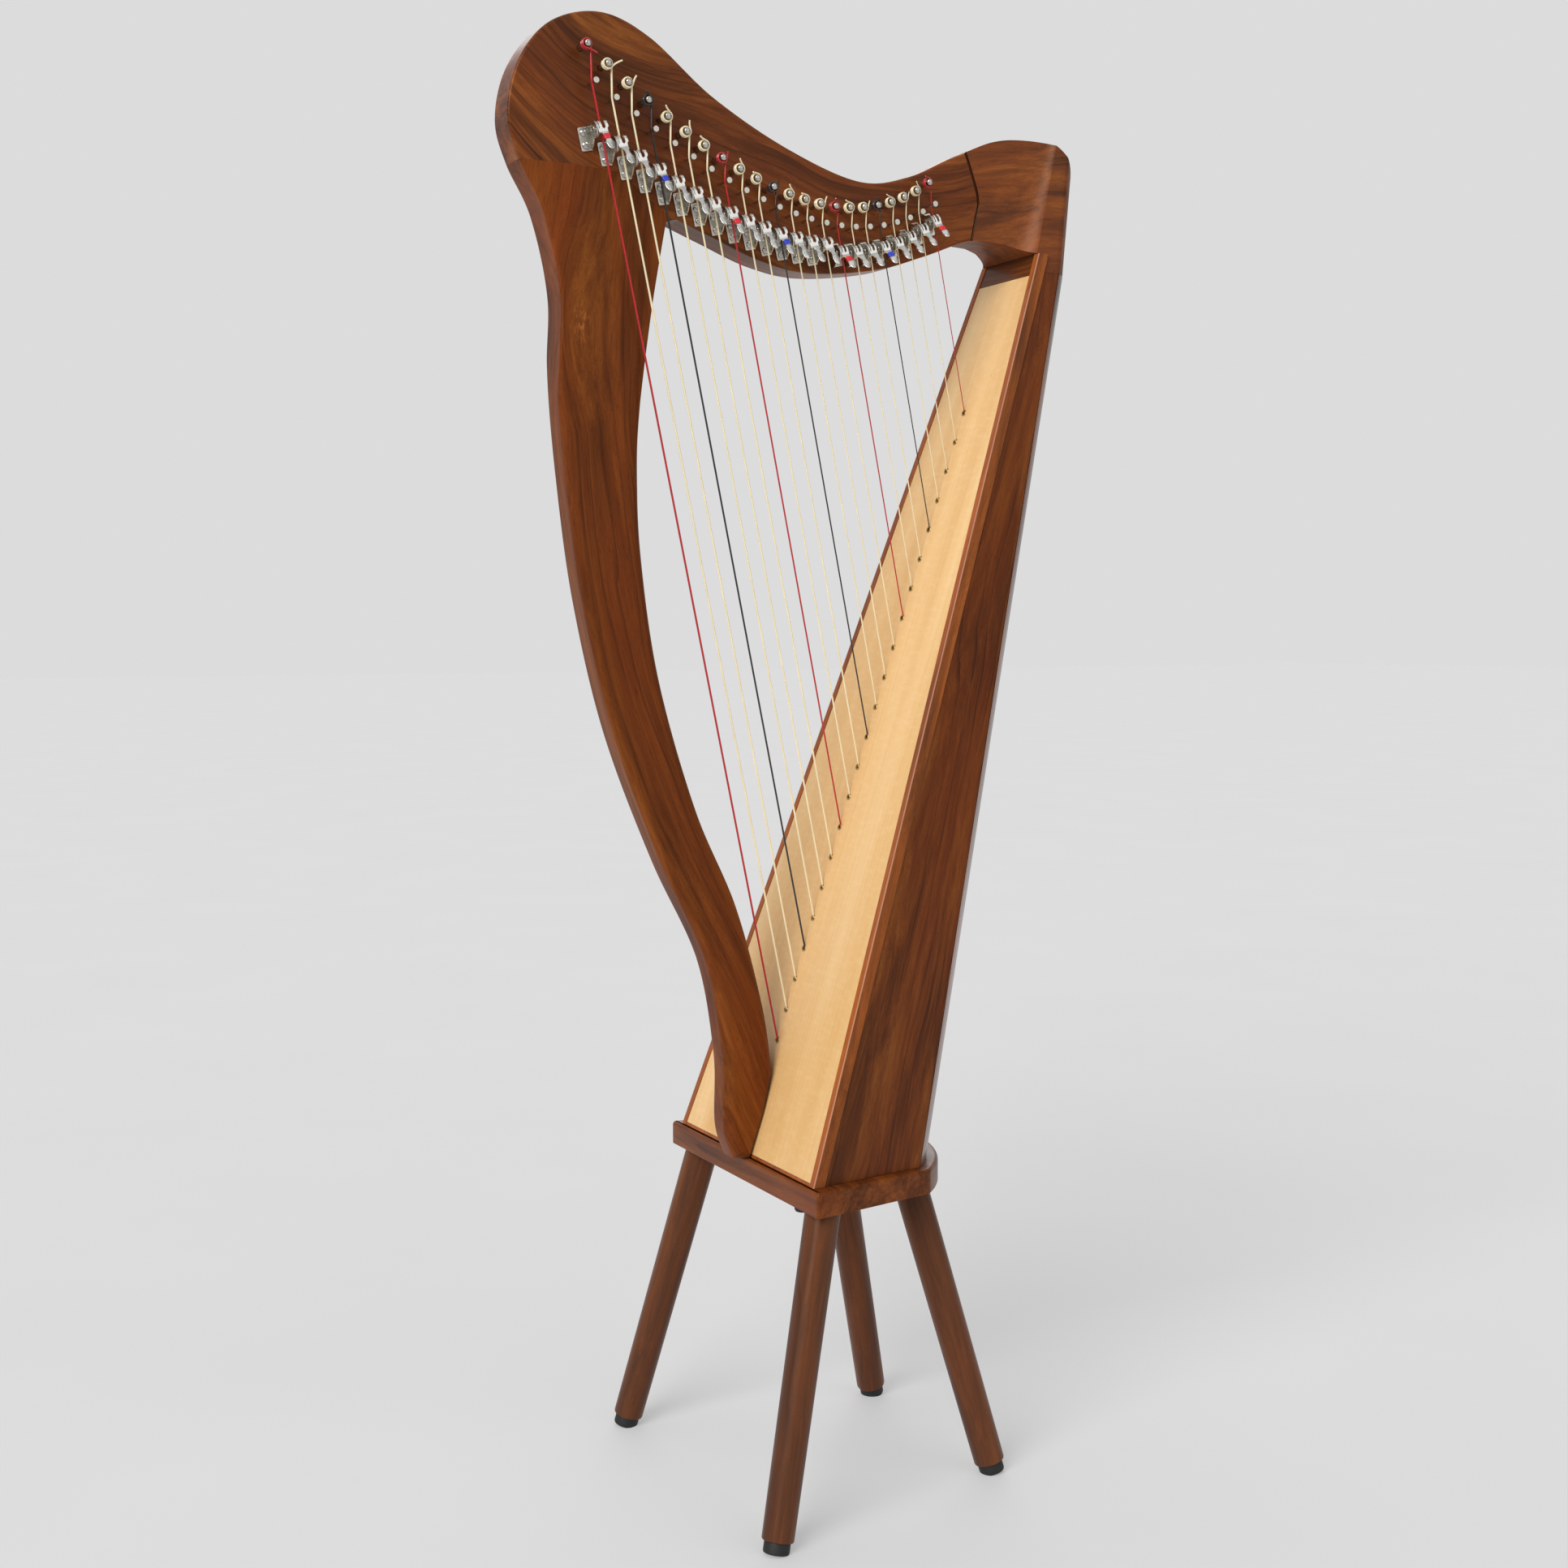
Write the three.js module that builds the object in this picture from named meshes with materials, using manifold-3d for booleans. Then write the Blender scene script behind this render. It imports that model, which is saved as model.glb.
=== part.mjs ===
// A 22-string lever harp on four splayed screw-in legs.
// Millimetres, +Z up, floor at z = 0. X runs from the pillar (-) to the soundbox (+),
// and the strings, levers and bridge pins sit on the -Y side of the neck.
import * as THREE from 'three';
import { mergeVertices } from 'three/addons/utils/BufferGeometryUtils.js';
import Module from 'manifold-3d';

const wasm = await Module();
wasm.setup();

// ---------------------------------------------------------------- driving dimensions
const FIT = 0.3; // gap between neighbouring pieces
const CENTRE_X = 1.5; // middle of the whole harp in the drawing's x
const STRINGS = 22;
const BASS_LEVERS = 14; // the first levers are wide; the treble ones narrow, on mirrored plates

// Neck and pillar: one flat silhouette in XZ, split at the glue joints.
const NECK_THICK = 32;
const NECK_ROUND = 3.5; // rounding of its long edges
const FACE = -NECK_THICK / 2; // the face that carries the levers

// From the pillar's foot up its front, over the head and along the top of the neck.
const FRONT_EDGE = [
  [-66, 295], [-77, 325], [-79, 385], [-96, 469], [-140, 559], [-184, 670], [-211, 780],
  [-225, 880], [-232, 965], [-231, 1030], [-245, 1093], [-266, 1134], [-275, 1168],
  [-265, 1210], [-237, 1244], [-194, 1257], [-150, 1243], [-92, 1202], [-21, 1168],
  [50, 1148], [101, 1157], [152, 1181], [205, 1200],
];
// Under the neck from the shoulder to the inner corner.
const UNDER_EDGE = [
  [205, 1112], [166, 1107], [118, 1089], [68, 1073], [2, 1064.5], [-46, 1070.5], [-92, 1086],
  [-126, 1098],
];
// Down the string side of the pillar, from the inner corner to the soundboard.
const BACK_EDGE = [
  [-136, 1095], [-149, 1025], [-158.5, 956], [-163, 890], [-160, 815], [-144, 713],
  [-110, 602], [-71, 515], [-47, 427], [-37.5, 366],
];
const NECK_JOINT = [[-300, 1132], [-222, 1133], [-179, 1131], [-136, 1101], [-100, 1070]];
const SHOULDER_JOINT = [[156, 1196], [168, 1166], [175, 1143], [172, 1126], [166, 1095]];

// Soundbox: straight lines from its bottom on the base board to the shoulder block.
const BOX_LOW = 292; // top of the base board
const BOX_HIGH = 1096.8; // top of the soundboard
const SIDE_HIGH = 1080; // top of the side and back panels
const BOARD_TILT = 0.3467; // x per z of the soundboard
const BOARD_FOOT_X = -57.3;
const BOARD_HALF = [126.1, -0.1]; // half width at the bottom, and its change per z
const SIDE_BACK_X = [56, 0.239]; // rear edge of the side panels
const SIDE_BACK_HALF = [112.8, -0.086];
const BACK_RISE = [50, -0.033]; // how far the round back stands behind that edge
const BOARD_THICK = 4.3;
const PANEL_THICK = 4.5;
const RAIL_WIDE = 7.5; // hardwood edge beside the soundboard
const RAIL_DEEP = 11;
const RABBET = 4; // ledge that the soundboard is glued to
const TOP_TRIM = 21; // height of the trim above the soundboard
const BOTTOM_TRIM = 6;
const SOUND_HOLES = [[430, 44, 30], [640, 37, 24], [840, 30, 18]]; // z, half height, half width

// Base board.
const BASE_THICK = 21.9;
const BASE_FRONT_X = -61;
const BASE_FRONT_HALF = 140;
const BASE_SIDE_X = 61.5; // where the round end starts
const BASE_SIDE_HALF = 120.7;
const BASE_BACK_X = 118;
const BASE_CORNER = 6;
const BASE_ROUND = 3;

// Legs: [x, y] where the axis meets the board, and on the floor.
const LEG_FRONT = { top: [-41, 114], floor: [-106.5, 151.2] };
const LEG_BACK = { top: [74.5, 64.5], floor: [140.8, 104.7] };
const LEG_RADII = [15.3, 13.7];
const FOOT_RADIUS = 11.2;
const FOOT_HIGH = 10;
const BOLT_RADIUS = 4;
const BOLT_LONG = 14;

// Strings. The two pin rows are cubic Bezier curves that the strings divide evenly by number.
const BRIDGE_ROW = [[-206, 1197], [-81, 1116], [29, 1072], [118, 1132]];
const TUNING_ROW = [[-213, 1225], [-86, 1129], [24, 1087], [112, 1150]];
const FIRST_HOLE = 105.4; // up the soundboard to the bass string's hole
const HOLE_PITCH = 28.4;
const HOLE_RADIUS = 2.7;
const STRING_RADII = [0.9, 0.4];
const STRING_OUT = 13; // from the neck's face to the strings
const RIB = { wide: 18, thick: 6, from: 80, to: 730 }; // string rib under the soundboard

// Tuning pins.
const PIN_RADIUS = 2.5;
const PIN_OUT = 19; // from the face to the tip
const PIN_KEY = 15; // square end on the other side
const COIL_RADIUS = 4.1;
const COIL_SPAN = [11.6, 16.6]; // wound string on the pin, from the face
const BRIDGE_PIN = { radius: 1.4, out: 16.5, head: 2.3 };

// Levers. Local frame: X across the strings, -Y away from the neck, Z up the string.
const PIVOT_OUT = 12; // axis of the lever in front of the neck's face
const BASS_TRAVEL = [37.3, -1.5]; // first lever's distance below its bridge pin, change per lever
const TREBLE_TRAVEL = [22, -1];
const SHELL_RADIUS = 6.5;
const SHEET = 1.2;
const RIVET_RADIUS = 1.6;
const RIVET_HOLE = 2;

// ---------------------------------------------------------------- helpers
const V2 = (x, y) => new THREE.Vector2(x, y);
const V3 = (x, y, z) => new THREE.Vector3(x, y, z);

// Any closed three.js geometry as a solid that can be joined and cut.
function solid(geometry) {
  const plain = new THREE.BufferGeometry();
  plain.setAttribute('position', geometry.getAttribute('position').clone());
  if (geometry.index) plain.setIndex(geometry.index.clone());
  const merged = mergeVertices(plain, 1e-4);
  const mesh = new wasm.Mesh({
    numProp: 3,
    vertProperties: new Float32Array(merged.getAttribute('position').array),
    triVerts: new Uint32Array(merged.index.array),
  });
  return new wasm.Manifold(mesh);
}

function geometryOf(body) {
  const mesh = body.getMesh();
  const geometry = new THREE.BufferGeometry();
  geometry.setAttribute('position', new THREE.BufferAttribute(new Float32Array(mesh.vertProperties), 3));
  geometry.setIndex(new THREE.BufferAttribute(new Uint32Array(mesh.triVerts), 1));
  return geometry;
}

// A solid with the same outline in every slice, from y0 to y1; outline points are [x, z].
function slabXZ(points, y0, y1, round = 0) {
  const shape = new THREE.Shape(points.map(([x, z]) => V2(x, z)));
  const geometry = new THREE.ExtrudeGeometry(shape, {
    depth: y1 - y0 - 2 * round,
    bevelEnabled: round > 0,
    bevelThickness: round,
    bevelSize: round,
    bevelOffset: -round,
    bevelSegments: 2,
    steps: 1,
    curveSegments: 8,
  });
  geometry.rotateX(Math.PI / 2);
  geometry.translate(0, y1 - round, 0);
  return solid(geometry);
}

// The same along X; outline points are [y, z].
function slabYZ(points, x0, x1) {
  const shape = new THREE.Shape(points.map(([y, z]) => V2(y, z)));
  const geometry = new THREE.ExtrudeGeometry(shape, { depth: x1 - x0, bevelEnabled: false });
  geometry.rotateX(Math.PI / 2);
  geometry.rotateZ(Math.PI / 2);
  geometry.translate(x0, 0, 0);
  return solid(geometry);
}

function box(x0, x1, y0, y1, z0, z1) {
  const geometry = new THREE.BoxGeometry(x1 - x0, y1 - y0, z1 - z0);
  geometry.translate((x0 + x1) / 2, (y0 + y1) / 2, (z0 + z1) / 2);
  return solid(geometry);
}

// A cylinder along Y.
function rodY(radius, y0, y1, x, z, sides = 8) {
  const geometry = new THREE.CylinderGeometry(radius, radius, y1 - y0, sides);
  geometry.translate(x, (y0 + y1) / 2, z);
  return solid(geometry);
}

// Triangles of a flat outline, wound the way the outline runs.
function capFaces(outline) {
  const clockwise = THREE.ShapeUtils.isClockWise(outline);
  const contour = clockwise ? outline.map((p) => V2(-p.x, p.y)) : outline;
  return THREE.ShapeUtils.triangulateShape(contour, []);
}

// Skins rings of points, all with the same count, into a closed solid.
function loft(rings, flat) {
  const count = rings[0].length;
  const index = [];
  for (let r = 0; r + 1 < rings.length; r += 1) {
    for (let i = 0; i < count; i += 1) {
      const a = r * count + i;
      const b = r * count + ((i + 1) % count);
      index.push(a, b, b + count, a, b + count, a + count);
    }
  }
  const last = (rings.length - 1) * count;
  for (const [a, b, c] of capFaces(rings[0].map(flat))) index.push(a, c, b);
  for (const [a, b, c] of capFaces(rings.at(-1).map(flat))) index.push(last + a, last + b, last + c);
  const geometry = new THREE.BufferGeometry();
  const positions = rings.flat().flatMap((p) => [p.x, p.y, p.z]);
  geometry.setAttribute('position', new THREE.Float32BufferAttribute(positions, 3));
  geometry.setIndex(index);
  return solid(geometry);
}

// A solid between two heights; outline(z) gives its plan there, anticlockwise from above.
const plan = (outline, z0, z1) => loft(
  [z0, z1].map((z) => outline(z).map(([x, y]) => V3(x, y, z))),
  (p) => V2(p.x, p.y),
);

// A round tube through points that lie close to the XZ plane.
function tube(points, radius, sides) {
  const rings = points.map((point, i) => {
    const before = points[Math.max(i - 1, 0)];
    const after = points[Math.min(i + 1, points.length - 1)];
    const along = after.clone().sub(before).normalize();
    const side = along.clone().cross(V3(0, 1, 0)).normalize();
    const over = along.clone().cross(side);
    return Array.from({ length: sides }, (_, k) => {
      const turn = (2 * Math.PI * k) / sides;
      return point.clone().addScaledVector(side, radius * Math.cos(turn))
        .addScaledVector(over, radius * Math.sin(turn));
    });
  });
  const side = V3(1, 0, 0);
  return loft(rings, (p) => V2(p.dot(side), p.y));
}

const spline = (points) => new THREE.SplineCurve(points.map(([x, z]) => V2(x, z)));
const smooth = (points, steps) => spline(points).getPoints(steps).map((p) => [p.x, p.y]);
const straight = ([start, rate], z) => start + rate * (z - BOX_LOW);
const join = (bodies) => bodies.reduce((sum, body) => sum.add(body));
const mirrorY = (body) => body.mirror([0, 1, 0]);

// Points on the arc from angle a to b (degrees) about a centre.
function arc(cx, cy, radius, a, b, steps) {
  return Array.from({ length: steps + 1 }, (_, i) => {
    const turn = THREE.MathUtils.degToRad(a + ((b - a) * i) / steps);
    return [cx + radius * Math.cos(turn), cy + radius * Math.sin(turn)];
  });
}

// The round back: an arc through (x, half), (x + rise, 0) and (x, -half).
function backArc(x, half, rise, steps) {
  const radius = (half * half + rise * rise) / (2 * rise);
  const spread = THREE.MathUtils.radToDeg(Math.asin(half / radius));
  return arc(x + rise - radius, 0, radius, -spread, spread, steps);
}

// ---------------------------------------------------------------- materials
const material = (color, roughness, metalness = 0) => new THREE.MeshStandardMaterial({ color, roughness, metalness });
const rosewood = () => material(0x6b3a22, 0.35);
const rosewoodPanel = () => material(0x74462f, 0.38);
const spruce = () => material(0xe0b67e, 0.45);
const nickel = () => material(0xc9c6c0, 0.22, 1);
const steel = () => material(0xa8a6a2, 0.3, 1);
const nylon = () => material(0xefe3c2, 0.4);
const rubber = () => material(0x1c1c1c, 0.85);

const harp = new THREE.Group();
harp.position.x = -CENTRE_X;

function addPart(name, body, look, parent = harp) {
  const mesh = new THREE.Mesh(geometryOf(body), look);
  mesh.name = name;
  parent.add(mesh);
  return mesh;
}

// ---------------------------------------------------------------- strings, by number from the bass
const row = (points) => new THREE.CubicBezierCurve(...points.map(([x, z]) => V2(x, z)));
const bridgeRow = row(BRIDGE_ROW);
const tuningRow = row(TUNING_ROW);
const boardLength = Math.hypot(BOX_HIGH - BOX_LOW, BOARD_TILT * (BOX_HIGH - BOX_LOW));
const boardUp = V3(BOARD_TILT, 0, 1).normalize();
const boardOut = V3(-1, 0, BOARD_TILT).normalize();
const boardFoot = V3(BOARD_FOOT_X, 0, BOX_LOW);

function stringAt(i) {
  const part = i / (STRINGS - 1);
  const radius = THREE.MathUtils.lerp(...STRING_RADII, part);
  const bridge = bridgeRow.getPoint(part);
  const tuning = tuningRow.getPoint(part);
  const hole = boardFoot.clone().addScaledVector(boardUp, FIRST_HOLE + HOLE_PITCH * i);
  const y = FACE - STRING_OUT;
  const bend = V3(bridge.x - BRIDGE_PIN.radius - FIT - radius, y, bridge.y);
  const start = V3(tuning.x + COIL_RADIUS + FIT + radius, y, tuning.y);
  const lean = Math.atan2(hole.x - bend.x, bend.z - hole.z); // from upright, in XZ
  const travel = i < BASS_LEVERS
    ? BASS_TRAVEL[0] + BASS_TRAVEL[1] * i
    : TREBLE_TRAVEL[0] + TREBLE_TRAVEL[1] * (i - BASS_LEVERS);
  const pivot = V3(bend.x + travel * Math.sin(lean), FACE - PIVOT_OUT, bend.z - travel * Math.cos(lean));
  return { number: i + 1, radius, bridge, tuning, hole, bend, start, lean, pivot };
}
const strings = Array.from({ length: STRINGS }, (_, i) => stringAt(i));
const nameOf = (kind, number) => `${kind}_${String(number).padStart(2, '0')}`;

// ---------------------------------------------------------------- neck and pillar
const frontCurve = smooth(FRONT_EDGE, 62);
const underCurve = smooth(UNDER_EDGE, 16);
const backCurve = smooth(BACK_EDGE, 24);
const pillarFoot = [[BOARD_FOOT_X + BOARD_TILT * 40 - 1, BOX_LOW + 40], [BOARD_FOOT_X - FIT - 1, BOX_LOW + FIT]];
const silhouette = slabXZ([...frontCurve, ...underCurve, ...backCurve, ...pillarFoot], FACE, -FACE, NECK_ROUND);

// Everything on the pillar's side of the glue joint, and on the shoulder's side.
const WIDE = 60;
const pillarRegion = [...NECK_JOINT, [-20, 1000], [-20, 280], [-320, 280], [-320, 1132]];
const pillarSide = slabXZ(pillarRegion, -WIDE, WIDE);
const shoulderJoint = smooth(SHOULDER_JOINT, 8);
const shoulderSide = slabXZ([...shoulderJoint, [330, 1095], [330, 1230], [156, 1230]], -WIDE, WIDE);
const soundboardSide = plan((z) => {
  const x = BOARD_FOOT_X + BOARD_TILT * (z - BOX_LOW) - FIT;
  return [[x, -WIDE], [x + 300, -WIDE], [x + 300, WIDE], [x, WIDE]];
}, BOX_LOW - 20, BOX_HIGH);
const pillar = silhouette.intersect(pillarSide.translate([0, 0, -FIT])).subtract(soundboardSide)
  .subtract(box(-200, 0, -WIDE, WIDE, 200, BOX_LOW + FIT));
addPart('pillar', pillar, rosewood());

// A sheet bracket beside each string: a screwed plate, and a wall with a round ear that
// carries the lever's rivet.
function bracket({ wall, plate: [from, to], low, high }) {
  const ear = SHELL_RADIUS + 0.4;
  const out = -PIVOT_OUT;
  const outline = [[1, high], ...arc(out, 0, ear, 75, 300, 6), [1, low]];
  const sheet = slabYZ(outline, wall, wall + SHEET);
  const plate = box(from, to, -SHEET, 1, low, high);
  const rivet = new THREE.CylinderGeometry(RIVET_RADIUS, RIVET_RADIUS, SHEET + 1.4, 6);
  rivet.rotateZ(Math.PI / 2);
  rivet.translate(wall + SHEET + 0.5, out, 0);
  return sheet.add(plate).add(solid(rivet));
}
const brackets = {
  bass: bracket({ wall: -6.8, plate: [-15.6, -6.8 + SHEET], low: -14.5, high: 4.5 }),
  treble: bracket({ wall: -6, plate: [-6, 5], low: -11, high: 8.5 }),
};
const degrees = THREE.MathUtils.radToDeg;

function neckHardware(s) {
  const { radius, out, head } = BRIDGE_PIN;
  const pin = rodY(radius, FACE - out, FACE + 2, s.bridge.x, s.bridge.y, 6);
  const cap = rodY(head, FACE - out - 1.2, FACE - out, s.bridge.x, s.bridge.y, 6);
  const sheet = (s.number > BASS_LEVERS ? brackets.treble : brackets.bass)
    .rotate([0, -degrees(s.lean), 0]).translate([s.pivot.x, FACE, s.pivot.z]);
  return join([pin, cap, sheet]);
}
const pinHole = (s) => rodY(PIN_RADIUS + 0.6, FACE - 1, -FACE + 1, s.tuning.x, s.tuning.y);
const neck = silhouette.subtract(pillarSide).subtract(shoulderSide.translate([-FIT, 0, 0]))
  .subtract(join(strings.map(pinHole)))
  .add(join(strings.map(neckHardware)).subtract(slabXZ(pillarRegion, FACE - FIT, WIDE)));
addPart('neck', neck, rosewood());

// ---------------------------------------------------------------- shoulder block
// Flares in a hollow curve from the neck to the width of the soundbox, with a round back.
const SHOULDER_TOP = [[150, 1179.5], [170, 1189], [187, 1196], [205, 1200], [225, 1201], [241, 1199.5],
  [250, 1196], [259, 1188.5], [267, 1178], [274, 1164], [279.5, 1146], [290, 1080]];
const SHOULDER_BACK = 0.15; // x per z of its rear edge
function shoulderPlan(z) {
  const up = z - BOX_HIGH;
  const corner = [221 + 0.27 * up, 43.5 - 0.095 * up];
  const rear = [straight(SIDE_BACK_X, SIDE_HIGH) + SHOULDER_BACK * (z - SIDE_HIGH), straight(SIDE_BACK_HALF, z)];
  const half = -FACE;
  const flare = new THREE.QuadraticBezierCurve(V2(148, half), V2(corner[0] - 9, half + 0.4), V2(...corner));
  const near = flare.getPoints(7).map((p) => [p.x, -p.y]);
  const far = flare.getPoints(7).map((p) => [p.x, p.y]).reverse();
  return [...near, ...backArc(...rear, straight(BACK_RISE, z), 10), ...far];
}
const shoulderSilhouette = slabXZ([
  ...SHOULDER_TOP, [227.4, SIDE_HIGH], [233.2, BOX_HIGH], [221, BOX_HIGH], [200, 1105], [185, 1107.5],
  [166, 1107.5], [140, 1107.5], [140, 1179.5],
], -WIDE, WIDE);
const neckSide = slabXZ([...shoulderJoint, [100, 1095], [100, 1230], [156, 1230]], -WIDE, WIDE);
const shoulder = plan(shoulderPlan, SIDE_HIGH, 1215).intersect(shoulderSilhouette).subtract(neckSide);
addPart('shoulder_block', shoulder, rosewood());

// ---------------------------------------------------------------- soundbox
const boardX = (z) => BOARD_FOOT_X + BOARD_TILT * (z - BOX_LOW);
const boardHalf = (z) => straight(BOARD_HALF, z);

// A straight strip parallel to the soundboard's face, `deep` behind it to `deeper`.
const layer = (deep, deeper, inset, z0, z1) => plan((z) => {
  const half = boardHalf(z) - inset;
  return [[boardX(z) + deep, -half], [boardX(z) + deeper, -half], [boardX(z) + deeper, half],
    [boardX(z) + deep, half]];
}, z0, z1);

function sidePanel() {
  return plan((z) => {
    const front = [boardX(z) + RAIL_DEEP - 1, boardHalf(z) - 1];
    const rear = [straight(SIDE_BACK_X, z), straight(SIDE_BACK_HALF, z)];
    return [[rear[0], rear[1] - PANEL_THICK], rear, front, [front[0], front[1] - PANEL_THICK]];
  }, BOX_LOW + FIT, SIDE_HIGH - FIT);
}

const trimTop = BOX_HIGH - TOP_TRIM * boardUp.z;
const trimLow = BOX_LOW + BOTTOM_TRIM;
const topBlock = plan((z) => {
  const rear = straight(SIDE_BACK_X, z) - 2;
  const half = straight(SIDE_BACK_HALF, z) - 3;
  return [[boardX(z) + RAIL_DEEP - 2, -half], [rear, -half], [rear, half], [boardX(z) + RAIL_DEEP - 2, half]];
}, SIDE_HIGH - 26, SIDE_HIGH - FIT);
const side = sidePanel();
const soundboxFrame = layer(0, RAIL_DEEP, 0, BOX_LOW + FIT, BOX_HIGH - FIT)
  .subtract(layer(-5, BOARD_THICK / boardUp.z + FIT, RAIL_WIDE, trimLow, trimTop))
  .subtract(layer(-5, RAIL_DEEP + 5, RAIL_WIDE + RABBET, trimLow + RABBET + 10, trimTop - RABBET))
  .add(side).add(mirrorY(side)).add(topBlock);
addPart('soundbox_frame', soundboxFrame, rosewood());

const boardDeep = BOARD_THICK / boardUp.z;
const stringHole = (s) => {
  const drill = new THREE.CylinderGeometry(HOLE_RADIUS, HOLE_RADIUS, 4 * BOARD_THICK, 8);
  drill.applyQuaternion(new THREE.Quaternion().setFromUnitVectors(V3(0, 1, 0), boardOut));
  drill.translate(s.hole.x, s.hole.y, s.hole.z);
  return solid(drill);
};
const soundboard = layer(0, boardDeep, RAIL_WIDE + FIT, trimLow + FIT, trimTop - FIT)
  .subtract(join(strings.map(stringHole)));
addPart('soundboard', soundboard, spruce());

function backShell(z) {
  const x = straight(SIDE_BACK_X, z) + FIT;
  const half = straight(SIDE_BACK_HALF, z);
  const rise = straight(BACK_RISE, z);
  const inner = backArc(x, half - PANEL_THICK, rise - PANEL_THICK, 14).reverse();
  return [...backArc(x, half, rise, 14), ...inner];
}
const soundHole = ([z, tall, wide]) => slabYZ(
  arc(0, 0, 1, 0, 345, 23).map(([y, up]) => [y * wide, z + up * tall]), 40, 320,
);
const backPanel = plan(backShell, BOX_LOW + FIT, SIDE_HIGH - FIT).subtract(join(SOUND_HOLES.map(soundHole)));
addPart('back_panel', backPanel, rosewoodPanel());

// ---------------------------------------------------------------- strings on their rib
function stringBody(s) {
  const inside = s.hole.clone().addScaledVector(boardOut, -BOARD_THICK - FIT - RIB.thick / 2);
  return tube([s.start, s.bend, s.hole, inside], s.radius, 6);
}
const ribBlank = new THREE.BoxGeometry(RIB.thick, RIB.wide, RIB.to - RIB.from);
ribBlank.rotateY(Math.atan(BOARD_TILT));
const ribMiddle = boardFoot.clone().addScaledVector(boardUp, (RIB.from + RIB.to) / 2)
  .addScaledVector(boardOut, -BOARD_THICK - FIT - RIB.thick / 2);
ribBlank.translate(ribMiddle.x, ribMiddle.y, ribMiddle.z);
addPart('string_set', solid(ribBlank).add(join(strings.map(stringBody))), nylon());

// ---------------------------------------------------------------- base board
function basePlan() {
  const front = BASE_FRONT_X + BASE_CORNER;
  const half = BASE_FRONT_HALF - BASE_CORNER;
  return [
    ...arc(front, -half, BASE_CORNER, 180, 270, 4),
    ...backArc(BASE_SIDE_X, BASE_SIDE_HALF, BASE_BACK_X - BASE_SIDE_X, 20),
    ...arc(front, half, BASE_CORNER, 90, 180, 4),
  ];
}
const basePlate = new THREE.ExtrudeGeometry(new THREE.Shape(basePlan().map(([x, y]) => V2(x, y))), {
  depth: BASE_THICK - 2 * BASE_ROUND,
  bevelThickness: BASE_ROUND,
  bevelSize: BASE_ROUND,
  bevelOffset: -BASE_ROUND,
  bevelSegments: 2,
});
basePlate.translate(0, 0, BOX_LOW - BASE_THICK + BASE_ROUND);
const legs = [
  ['front_near', LEG_FRONT, -1], ['front_far', LEG_FRONT, 1],
  ['rear_near', LEG_BACK, -1], ['rear_far', LEG_BACK, 1],
];
const legTopZ = BOX_LOW - BASE_THICK;

// A round bar along a leg's axis, between two distances from the floor point.
function alongLeg({ top, floor }, sign, from, to, radiusFrom, radiusTo, sides) {
  const low = V3(floor[0], sign * floor[1], 0);
  const axis = V3(top[0], sign * top[1], legTopZ).sub(low).normalize();
  const bar = new THREE.CylinderGeometry(radiusTo, radiusFrom, to - from, sides);
  bar.translate(0, (from + to) / 2, 0);
  bar.applyQuaternion(new THREE.Quaternion().setFromUnitVectors(V3(0, 1, 0), axis));
  bar.translate(low.x, low.y, low.z);
  return solid(bar);
}
const legLong = ({ top, floor }) => Math.hypot(top[0] - floor[0], top[1] - floor[1], legTopZ);
const boltHole = ([, leg, sign]) => alongLeg(
  leg, sign, legLong(leg) - 5, legLong(leg) + BOLT_LONG + 1, BOLT_RADIUS + 0.7, BOLT_RADIUS + 0.7, 12,
);
addPart('base_board', solid(basePlate).subtract(join(legs.map(boltHole))), rosewood());

// ---------------------------------------------------------------- legs and feet
const aboveFloor = box(-400, 400, -400, 400, 0, legTopZ - FIT);
for (const [place, leg, sign] of legs) {
  const long = legLong(leg);
  const wood = alongLeg(leg, sign, FOOT_HIGH + FIT, long + 20, LEG_RADII[1], LEG_RADII[0], 20).intersect(aboveFloor);
  const bolt = alongLeg(leg, sign, long - 10, long + BOLT_LONG, BOLT_RADIUS, BOLT_RADIUS, 12);
  addPart(`leg_${place}`, wood.add(bolt), rosewood());
  const foot = alongLeg(leg, sign, 0, FOOT_HIGH, FOOT_RADIUS, FOOT_RADIUS, 20).intersect(aboveFloor);
  addPart(`foot_${place}`, foot, rubber());
}

// ---------------------------------------------------------------- tuning pins
function tuningPin(s) {
  const tip = FACE - PIN_OUT;
  const [coilIn, coilOut] = COIL_SPAN.map((out) => FACE - out);
  const profile = [
    [0, tip], [1.7, tip + 0.4], [PIN_RADIUS, tip + 1.5], [PIN_RADIUS, coilOut - 0.5], [COIL_RADIUS, coilOut],
    [COIL_RADIUS, coilIn], [PIN_RADIUS, coilIn + 0.6], [PIN_RADIUS, -FACE + 3], [0, -FACE + 3],
  ];
  const shaft = solid(new THREE.LatheGeometry(profile.map(([r, y]) => V2(r, y)), 8));
  const key = new THREE.CylinderGeometry(2.1, 2.5, PIN_KEY, 4);
  key.translate(0, -FACE + PIN_KEY / 2 + 1, 0);
  return shaft.add(solid(key)).translate([s.tuning.x, 0, s.tuning.y]);
}
for (const s of strings) addPart(nameOf('tuning_pin', s.number), tuningPin(s), steel());

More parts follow.
